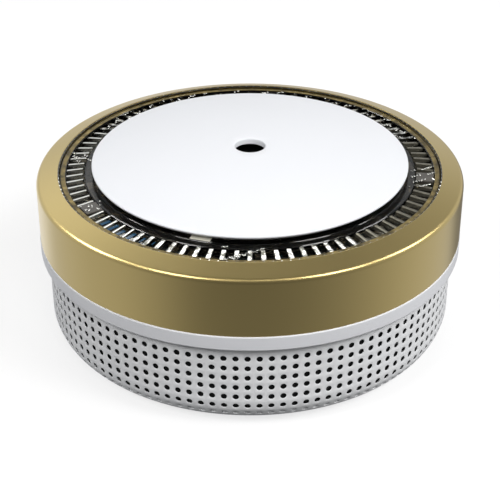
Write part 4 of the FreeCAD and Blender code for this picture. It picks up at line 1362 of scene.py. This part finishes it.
@dataclass
class LensRing:
    """The smoked clear ring and what is set in it: ribs whose finish changes by side as painted
    light and shade, snap blocks and facets, the beaded black seal that stands in for the shade in
    the gap round it, and a land with a painted gold reflection.
    """

    inner_radius: float = 33.5
    ribs: int = 90
    first_rib: float = 2.0
    # painted light and shade: each side's ribs take their own copy of the rib finish, the
    # brightest silver on the left, a darker copy as painted shade on the right, and high-contrast
    # painted glints at the front and back
    rib_groups: tuple[tuple[str, int, int, float, Finish], ...] = (
        ("back_ribs", 5, 33, 0.34, RIB_PAINTED_GLINTS),
        ("left_ribs", 38, 20, 0.24, RIB_SILVER),
        ("front_ribs", 58, 18, 0.38, RIB_PAINTED_GLINTS),
        ("right_ribs", 76, 19, 0.32, RIB_PAINTED_SHADE),
    )
    rib_inner: float = 38.8
    rib_outer: float = 43.1
    rib_tilt: float = 8.0
    pocket: float = 1.2
    web: float = 1.0
    foot_width: float = 1.3
    foot: float = 36.0
    block_angles: tuple[float, ...] = (-150.0, -8.0)
    sparkles: tuple[tuple[float, int, float], ...] = (
        (174.0, 12, 0.62), (-8.0, 26, 0.62), (-92.0, 22, 0.62), (-150.0, 8, 0.62),
        (85.0, 102, 1.3),
    )
    bead_radius: float = 0.19
    bead_circle: float = 44.76
    bead_height: float = 41.1
    beads: int = 150

    def _ring(self, high: Vector) -> None:
        """Turn the two smooth lands and the web between them.

        Args:
            high: the lens ring's highest corner.
        """
        inner = self.inner_radius
        floor = high.z - self.pocket
        under = floor - self.web
        fine = 0.18
        outline = [
            (inner, self.foot), (inner, high.z - fine), (inner + fine, high.z),
            (self.rib_inner - 2.1, high.z), (self.rib_inner - 2.0, high.z - 0.12),
            (self.rib_inner - 1.85, high.z - 0.12), (self.rib_inner - 1.75, high.z),
            (self.rib_inner - fine, high.z), (self.rib_inner, high.z - fine),
            (self.rib_inner, floor), (self.rib_outer, floor), (self.rib_outer, high.z - fine),
            (self.rib_outer + fine, high.z), (high.x - fine, high.z), (high.x, high.z - fine),
            (high.x, self.foot), (high.x - self.foot_width, self.foot),
            (high.x - self.foot_width, under), (inner + self.foot_width, under),
            (inner + self.foot_width, self.foot),
        ]
        ring = Workpiece(steps=270).turn(outline)
        ring.finish("smoked_lens_ring", "housing", "smoked_lens", SMOKE, "lens_ring")

    def _ribs(self, top: float) -> None:
        """Shape a rib with slanted ends for each stretch of the ring and repeat it, in that
        stretch's own copy of the rib finish, lighter or darker as painted light and shade.

        Args:
            top: height of the ring's top.
        """
        gap = 0.04
        floor = top - self.pocket + gap
        length = self.rib_outer - self.rib_inner - gap * 2
        middle = (self.rib_inner + self.rib_outer) / 2
        pitch = FULL_TURN * middle / self.ribs
        for name, first, count, share, look in self.rib_groups:
            size = (length, pitch * share, top - floor)
            rib = Workpiece().block(size, (0, 0, 0), bevel=0.14, segments=2)
            half = length / 2 * MM
            for vert in rib.bm.verts:
                along = vert.co.x / half
                vert.co.y *= 1 + along * length / 2 / middle
                if vert.co.z > 0:
                    vert.co.z -= math.tan(math.radians(self.rib_tilt)) * (along + 1) * half * 0.8
                    vert.co.x += half * 0.14 * (1 if along < 0 else 0)
            spot = (middle * MM, 0, (top + floor) / 2 * MM)
            bmesh.ops.translate(rib.bm, vec=spot, verts=rib.bm.verts)
            rib.ring_of(count, self.first_rib + first * 360 / self.ribs, self.ribs)
            rib.finish(name, "housing", "smoked_lens", look)

    def _snaps(self, top: float) -> None:
        """Add the blocks where the ring snaps into the frame, and the small facets on them.

        Args:
            top: height of the ring's top.
        """
        snaps = Workpiece()
        blocks = Workpiece()
        for turn, count, step in self.sparkles:
            for number in range(count):
                angle = turn + (number * 5 % count - count / 2) * step
                reach = self.rib_inner - 0.9 + (number * 7 % 9) * 0.62
                size = (0.5 + (number % 4) * 0.16, 0.34, 0.2)
                place = (*on_circle(reach, angle), top + 0.04)
                lean = (number * 11 % 7 - 3) * 7.0
                snaps.block(
                    size, place, turn=angle + number * 37, bevel=0.07, segments=1, lean=lean
                )
        for angle in self.block_angles:
            place = (*on_circle(self.rib_inner + 2.1, angle), top - 0.2)
            blocks.block((4.0, 4.1, 0.5), place, turn=angle, bevel=0.12)
        snaps.finish("lens_snap_facets", "housing", "smoked_lens", RIB_SILVER)
        blocks.finish("lens_snap_blocks", "housing", "smoked_lens", TAUPE)

    def _seal(self, top: float, outer: float) -> None:
        """Lay the black seal between the lens and the trim, which stands in for the shade in the
        gap, with its beads and a black line as painted shade, and the land inside it with its
        painted gold reflection.

        Args:
            top: height of the ring's top.
            outer: the ring's outer radius.
        """
        # painted shade: the black seal fills the gap between lens and trim, standing in for the
        # shade there
        seal = Workpiece(steps=180).turn(
            [
                (outer + 0.04, top - 2.0), (outer + 0.26, top - 2.0),
                (outer + 0.26, top - 0.3), (outer + 0.04, top - 0.3),
            ]
        )
        # painted reflection: this thin land takes a gold tone that stands in for the trim's
        # reflection
        land = Workpiece(steps=180).turn(
            [
                (self.rib_outer + 0.14, top + 0.01), (outer - 0.3, top + 0.01),
                (outer - 0.36, top + 0.06), (self.rib_outer + 0.2, top + 0.06),
            ]
        )
        land.finish("land_painted_gold_reflection", "housing", "smoked_lens", LAND_PAINTED_GOLD_REFLECTION)
        bead = Workpiece()
        bmesh.ops.create_icosphere(bead.bm, subdivisions=1, radius=self.bead_radius * MM)
        spot = (self.bead_circle * MM, 0, self.bead_height * MM)
        bmesh.ops.translate(bead.bm, vec=spot, verts=bead.bm.verts)
        middle, height = self.bead_circle, self.bead_height
        # painted shade: a thin black ring by the trim's inner edge, standing in for the dark line
        # of shade in the gap
        line = Workpiece(steps=180).turn(
            [
                (middle - 0.1, height - 0.22), (middle + 0.14, height - 0.22),
                (middle + 0.14, height), (middle - 0.02, height),
            ]
        )
        seal.take(line.bm)
        bead.ring_of(self.beads)
        bead.finish("seal_beads", "housing", "smoked_lens", RIB_SILVER)
        seal.finish("lens_seal_painted_gap_shade", "housing", "black_plastic", SEAL_PAINTED_GAP_SHADE)

    def build(self) -> None:
        """Build the ring and everything set in it."""
        high = span("lens_ring")[1]
        self._ring(high)
        self._ribs(high.z)
        self._snaps(high.z)
        self._seal(high.z, high.x)


@dataclass
class TopDisc:
    """The domed white push plate with its skirt, stems and pusher."""

    edge_top: float = 42.6
    hole: float = 3.53
    thickness: float = 1.36
    land: float = 1.0
    skirt: tuple[float, float] = (31.0, 32.2)
    skirt_foot: float = 39.6
    stem_circle: float = 28.0
    stem_radius: float = 2.0
    stem_foot: float = 30.8
    collar_radius: float = 3.2
    collar: tuple[float, float] = (41.5, 43.3)
    pusher: tuple[float, float] = (41.0, 43.9)
    pusher_radius: float = 1.8
    pusher_spot: Point = (0.0, -21.0)

    def build(self) -> None:
        """Turn the dome and add what hangs below it."""
        high = span("top_disc")[1]
        radius, crown = high.x, high.z
        rise = crown - self.edge_top
        dome = (radius**2 + rise**2) / (2 * rise)

        def surface(reach: float, ball: float) -> Point:
            """Find a point of a face of the dome.

            Args:
                reach: the point's radius.
                ball: the radius of the ball that the face is part of.

            Returns:
                The point's radius and height.
            """
            return (reach, crown - dome + math.sqrt(ball**2 - reach**2))

        hollow = dome - self.thickness
        steps = 14
        run, inner_run = radius - self.hole, self.skirt[0] - self.hole
        over = [surface(self.hole + run * s / steps, dome) for s in range(steps + 1)]
        inside = [surface(self.hole + inner_run * s / 8, hollow) for s in range(9)]
        outline = [
            *over,
            (radius, self.edge_top - 0.32),
            surface(radius - self.land, hollow),
            surface(self.skirt[1], hollow),
            (self.skirt[1], self.skirt_foot),
            (self.skirt[0], self.skirt_foot),
            *reversed(inside),
        ]
        disc = Workpiece(steps=256).turn(outline)
        disc.soften(lambda r, z: r > radius - 0.05 and z > self.edge_top - 0.1, 0.14, 4)
        disc.soften(lambda r, z: r < self.hole + 0.05 and z > crown - 0.3, 0.28, 3)
        stem = Workpiece()
        spot = (0, self.stem_circle)
        stem.rod(self.collar_radius, *self.collar, spot, bevel=0.15)
        stem.rod(self.stem_radius, self.stem_foot, self.collar[1], spot, bevel=0.25)
        stem.ring_of(3)
        disc.take(stem.bm)
        disc.rod(self.pusher_radius, *self.pusher, self.pusher_spot, bevel=0.1)
        disc.finish("white_push_plate", "push_plate", "white_disc", WHITE_DISC, "top_disc")


@dataclass
class StandingBase:
    """The rubber feet under the twist-off base."""

    foot_circle: float = 24.0
    foot_radius: float = 5.0
    grooves: int = 3

    def build(self) -> None:
        """Turn one foot with grooves in its tread, and repeat it."""
        low, high = span("rubber_feet")
        tread = [(0.0, low.z)]
        for number in range(self.grooves):
            start = 1.0 + number * 1.2
            tread += [
                (start, low.z), (start + 0.15, low.z + 0.2),
                (start + 0.45, low.z + 0.2), (start + 0.6, low.z),
            ]
        edge = 0.3
        radius = self.foot_radius
        tread += [
            (radius - edge, low.z), (radius - 0.09, low.z + 0.09), (radius, low.z + edge),
            (radius, high.z), (0.0, high.z),
        ]
        foot = Workpiece(steps=48).turn(tread)
        bmesh.ops.translate(foot.bm, vec=(self.foot_circle * MM, 0, 0), verts=foot.bm.verts)
        foot.ring_of(4, 45)
        foot.finish("rubber_tread_feet", "base", "rubber_feet", RUBBER, "rubber_feet")


class Part(Enum):
    """Kinds of small component on the light board, with length, width and height."""

    RESISTOR = (1.6, 0.8, 0.5)
    CAPACITOR = (2.0, 1.25, 1.0)
    CRYSTAL = (3.2, 2.5, 0.8)


@dataclass
class LightBoard:
    """What shows through the lens: lamps, small components, blue film and a paper label."""

    surface: float = 36.0
    lamps: int = 12
    lamp_circle: float = 40.9
    spots: int = 96
    golden_angle: float = 137.508
    reaches: tuple[float, ...] = (36.9, 38.0, 43.6, 35.9)
    film: tuple[Point, ...] = (
        (40.6, 2.4), (40.9, 3.4), (41.2, 3.0), (40.7, 3.2), (40.2, 2.0), (40.0, 1.2),
    )
    film_height: float = 39.46
    label_size: tuple[float, float, float] = (4.6, 1.9, 0.12)
    label_spot: Point = (35.5, -107.2)
    label_height: float = 40.62

    def _lamps(self) -> None:
        """Shape one lamp with its gel window and repeat it."""
        foot, reach = self.surface, self.lamp_circle
        body = Workpiece().block((2.8, 2.8, 1.5), (reach, 0, foot + 0.75), bevel=0.12)
        body.rod(1.15, foot + 1.45, foot + 1.6, (reach, 0), sides=20, top_radius=1.05)
        body.ring_of(self.lamps)
        body.finish("status_lamps", "housing", "led_body", CERAMIC, "status_leds")

    def _small_parts(self) -> None:
        """Set small components out in rings, in an order that is always the same."""
        looks = {
            Part.RESISTOR: ("tiny_resistors", BLACK),
            Part.CAPACITOR: ("tiny_capacitors", CERAMIC),
            Part.CRYSTAL: ("metal_crystals", TINPLATE),
        }
        made = {part: Workpiece() for part in looks}
        kinds = (
            Part.RESISTOR, Part.CAPACITOR, Part.RESISTOR,
            Part.CRYSTAL, Part.CAPACITOR, Part.RESISTOR,
        )
        for number in range(self.spots):
            angle = number * self.golden_angle
            reach = self.reaches[number % len(self.reaches)]
            if reach > 43 and number % 8 < 5:
                continue
            kind = kinds[number % len(kinds)]
            place = (*on_circle(reach, angle), self.surface + kind.value[2] / 2)
            turn = angle + 90 * (number % 2)
            made[kind].block(kind.value, place, turn=turn, bevel=0.08, segments=1)
        for kind, (name, look) in looks.items():
            made[kind].finish(name, "housing", "led_body", look)

    def _tape(self) -> None:
        """Lay the blue tape and the pale label that show between the ribs at the front."""
        tape = Workpiece()
        for number, (reach, long) in enumerate(self.film):
            angle = -142 + number * 4.0
            place = (*on_circle(reach, angle), self.film_height)
            tape.block((long, 1.5, 0.06), place, turn=angle, bevel=0.02)
        tape.finish("blue_film_strips", "housing", "board_blue", BLUE_FILM)
        place = (*on_circle(*self.label_spot), self.label_height)
        label = Workpiece().block(self.label_size, place, turn=-17.2, bevel=0.04)
        label.finish("pale_label", "housing", "led_body", LABEL)

    def build(self) -> None:
        """Build the lamps, the components, the film and the label."""
        self._lamps()
        self._small_parts()
        self._tape()


@dataclass
class SupplySocket:
    """The supply socket's metal shell with its tongue and contacts."""

    height: float = 15.0
    width: float = 9.0
    thickness: float = 3.2
    shell: float = 0.3
    mouth: float = 46.9
    depth: float = 7.3
    contacts: int = 8
    contact_pitch: float = 0.7
    contact_lift: float = 0.37

    def _oval(
        self, bm: bmesh.types.BMesh, shrink: float, along: float
    ) -> list[bmesh.types.BMEdge]:
        """Add an upright loop with half-round ends.

        Args:
            bm: where the loop goes.
            shrink: how much further in the loop runs than the shell's outside.
            along: its place in Y.

        Returns:
            The loop's edges.
        """
        radius = self.thickness / 2 - shrink
        straight = (self.width - self.thickness) / 2
        made = bmesh.ops.create_circle(bm, segments=32, radius=radius)
        for vert in made["verts"]:
            side = math.copysign(straight, vert.co.x) if abs(vert.co.x) > 1e-6 else 0
            across, up = vert.co.x + side, vert.co.y
            vert.co = Vector((across, along, up + self.height))
        return list({edge for vert in made["verts"] for edge in vert.link_edges})

    def build(self) -> None:
        """Bridge the shell's loops, close its back and set the tongue in it."""
        socket = Workpiece()
        bm = socket.bm
        rear = self.mouth - self.depth
        lead = 0.12
        places = [
            (0.0, rear), (0.0, self.mouth - lead), (lead, self.mouth),
            (self.shell, self.mouth - lead), (self.shell, rear + self.shell),
        ]
        loops = [self._oval(bm, shrink, along) for shrink, along in places]
        for one, other in zip(loops, loops[1:]):
            bmesh.ops.bridge_loops(bm, edges=one + other)
        for loop in (loops[0], loops[-1]):
            bmesh.ops.holes_fill(bm, edges=loop, sides=0)
        bmesh.ops.scale(bm, vec=(MM, MM, MM), verts=bm.verts)
        bmesh.ops.recalc_face_normals(bm, faces=bm.faces)
        socket.finish("socket_shell", "housing", "steel", TINPLATE, "usb_socket")
        length = self.depth - 1.6
        tongue = Workpiece().block(
            (6.2, length, 0.7), (0, rear + length / 2 + 0.2, self.height), bevel=0.12
        )
        tongue.finish("socket_tongue", "housing", "black_plastic", BLACK)
        contacts = Workpiece()
        for number in range(self.contacts):
            across = (number - (self.contacts - 1) / 2) * self.contact_pitch
            for side in (-1, 1):
                spot = (across, self.mouth - 3.6, self.height + side * self.contact_lift)
                contacts.block((0.3, 3.6, 0.06), spot, bevel=0.02, segments=1)
        contacts.finish("socket_contacts", "housing", "brass", GILT)


# ---------------------------------------------------------------- studio


@dataclass
class Studio:
    """Pale floor, soft lights and the camera."""

    shoulder: float = 0.0400
    camera_reach: float = 0.28662
    camera_rise: float = 0.14750
    camera_pitch: float = 59.33
    lens: float = 98.36

    def camera(self) -> None:
        """Set the camera up in front of the monitor and above it."""
        data = bpy.data.cameras.new("view_camera")
        data.lens = self.lens
        data.sensor_width = 36.0
        camera = bpy.data.objects.new("view_camera", data)
        camera.location = (0, -self.camera_reach, self.shoulder + self.camera_rise)
        camera.rotation_euler = (math.radians(self.camera_pitch), 0, 0)
        bpy.context.scene.collection.objects.link(camera)
        bpy.context.scene.camera = camera

    def floor(self) -> None:
        """Lay a wide pale floor that takes a faint shadow."""
        bm = bmesh.new()
        bmesh.ops.create_grid(bm, x_segments=2, y_segments=2, size=4.0)
        mesh = bpy.data.meshes.new("floor")
        bm.to_mesh(mesh)
        bm.free()
        floor = bpy.data.objects.new("floor", mesh)
        material = bpy.data.materials.new("pale_floor")
        material.use_nodes = True
        shader = material.node_tree.nodes["Principled BSDF"]
        shader.inputs["Base Color"].default_value = (0.3, 0.3, 0.3, 1)
        shader.inputs["Roughness"].default_value = 0.9
        shader.inputs["Specular IOR Level"].default_value = 0.0
        shader.inputs["Emission Color"].default_value = (1, 1, 1, 1)
        shader.inputs["Emission Strength"].default_value = 0.7
        mesh.materials.append(material)
        bpy.context.scene.collection.objects.link(floor)
        floor.visible_glossy = False
        floor.visible_diffuse = False

    def world(self) -> None:
        """Light the room: brightest behind on the left, dim in front and overhead."""
        world = bpy.data.worlds.new("studio_room")
        world.use_nodes = True
        bpy.context.scene.world = world
        wires = Wires(world.node_tree)
        back = world.node_tree.nodes["Background"]
        place = wires.add("ShaderNodeTexCoord")
        parts = wires.add("ShaderNodeSeparateXYZ")
        wires.link(place, "Generated", parts, "Vector")

        def ramp(axis: str, start: float, end: float, first: float, last: float) -> bpy.types.Node:
            """Turn one part of the direction into a smooth brightness.

            Args:
                axis: X, Y or Z.
                start: where the change starts.
                end: where it ends.
                first: the brightness before it.
                last: the brightness after it.

            Returns:
                The node that gives the brightness.
            """
            node = wires.add("ShaderNodeMapRange", clamp=True, interpolation_type="SMOOTHSTEP")
            sockets = ("From Min", "From Max", "To Min", "To Max")
            for label, value in zip(sockets, (start, end, first, last)):
                node.inputs[label].default_value = value
            wires.link(parts, axis, node, "Value")
            return node

        room = wires.multiply(ramp("Y", -1.25, 0.55, 0.1, 0.62), ramp("Z", 0.3, 1.0, 1.0, 0.36))
        below = ramp("Z", -0.2, 0.0, 1.0, 0.0)
        left = ramp("X", -0.24, -0.02, 1.0, 0.0)
        glow_high = wires.multiply(
            left, ramp("Z", 0.15, 0.65, 0.0, 0.5), ramp("Y", 0.2, 0.75, 0.0, 1.0)
        )
        glow_low = wires.multiply(left, below, ramp("Y", 0.52, 0.78, 0.0, 0.42))
        bounce = wires.multiply(
            ramp("X", -0.7, -0.35, 1.0, 0.0), below, ramp("Y", -0.3, 0.1, 0.1, 0.0)
        )
        glow = wires.join("ADD", wires.join("ADD", glow_high, glow_low), bounce)
        lit = wires.join("ADD", room, glow)
        far_right = wires.multiply(
            ramp("X", 0.15, 0.35, 0.0, 0.75), ramp("Y", 0.58, 0.74, 0.0, 1.0), below
        )
        top_right = wires.multiply(
            ramp("X", 0.0, 0.2, 0.0, 0.22), ramp("Z", 0.2, 0.5, 0.0, 1.0)
        )
        flag = wires.join("ADD", far_right, top_right)
        kept = wires.join("SUBTRACT", lit, wires.multiply(flag, lit))
        path = wires.add("ShaderNodeLightPath")
        share = wires.add("ShaderNodeMath", operation="MULTIPLY_ADD")
        share.inputs[1].default_value = -0.6
        share.inputs[2].default_value = 1.0
        wires.link(path, "Is Diffuse Ray", share, 0)
        wires.link(wires.multiply(kept, share), 0, back, "Strength")
        back.inputs["Color"].default_value = (0.97, 0.985, 1.0, 1)

    def lamp(
        self, name: str, spot: tuple[float, float, float], size: Point, power: float,
        mirrored: bool = True, matt: bool = True,
    ) -> None:
        """Hang one soft rectangular light that faces the monitor.

        Args:
            name: its name.
            spot: where it hangs, in metres.
            size: its width and height in metres.
            power: its power in watts.
            mirrored: whether glossy surfaces show it.
            matt: whether it lights matt surfaces.
        """
        data = bpy.data.lights.new(name, "AREA")
        data.shape = "RECTANGLE"
        data.size, data.size_y = size
        data.energy = power
        lamp = bpy.data.objects.new(name, data)
        lamp.location = spot
        lamp.visible_glossy = mirrored
        lamp.visible_diffuse = matt
        lamp.rotation_euler = Vector(spot).to_track_quat("Z", "Y").to_euler()
        bpy.context.scene.collection.objects.link(lamp)

    def build(self) -> None:
        """Set up the camera, floor, room and lights."""
        bpy.context.scene.view_settings.view_transform = "Standard"
        self.camera()
        self.floor()
        self.world()
        self.lamp("left_light", (-0.9, 0.09, 0.70), (0.42, 0.42), 4.2, matt=False)
        self.lamp("right_light", (0.9, 0.09, 0.70), (0.36, 0.36), 2.8)
        self.lamp("front_left_light", (-0.55, -0.55, 0.85), (0.4, 0.3), 2.7)
        self.lamp("front_right_light", (0.6, -0.5, 0.85), (0.4, 0.3), 3.4)
        self.lamp("rear_strip", (0.0, 0.83, 0.88), (0.5, 0.15), 0.55)
        self.lamp("shoulder_strip", (0.0, -0.62, 0.95), (1.3, 0.05), 0.8, matt=False)
        self.lamp("overhead_fill", (0.0, 0.5, 1.1), (0.9, 0.9), 2.0, mirrored=False)
        self.lamp("front_fill", (0.15, -0.8, 0.75), (0.4, 0.4), 3.5, mirrored=False)
        self.lamp("left_fill", (-0.75, -0.45, 0.7), (0.4, 0.4), 2.8, mirrored=False)
        self.lamp("right_fill", (0.8, -0.4, 0.7), (0.4, 0.4), 4.2, mirrored=False)


def dress_nodes(frame: dict) -> None:
    """Give every CAD node that stays its finish, by its material slot.

    Args:
        frame: the loaded frame.
    """
    looks = {
        "gold_trim": GOLD,
        "white_frame": WHITE_FRAME,
        "white_grille": WHITE_GRILLE,
        "dark_mesh": SCREEN,
        "base_plastic": BASE_WHITE,
        "rubber_feet": RUBBER,
        "smoked_lens": SMOKE,
        "white_disc": WHITE_DISC,
        "steel": STEEL,
        "black_plastic": BLACK,
        "board_blue": BLUE_BOARD,
        "led_body": CERAMIC,
        "switch_plunger": BLACK,
        "brass": BRASS,
        "board_green": GREEN_BOARD,
        "battery_wrap": FOIL,
        "shield_metal": TINPLATE,
        "fan_plastic": FAN_GREY,
        "gilt_sensor": GILT,
    }
    for entry in frame["record"]["subparts"]:
        node = frame["nodes"][entry["node"]]
        PAINT.coat(node, looks[entry["material_slot"]])


def main() -> None:
    """Build the looks in order around the frame."""
    logging.basicConfig(level=logging.INFO, format="%(message)s")
    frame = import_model()
    Studio().build()
    dress_nodes(frame)
    TrimRing().build()
    MiddleFrame().build()
    GrilleBasket().build()
    LensRing().build()
    TopDisc().build()
    StandingBase().build()
    LightBoard().build()
    SupplySocket().build()
    bpy.context.view_layer.update()


if __name__ == "__main__":
    main()
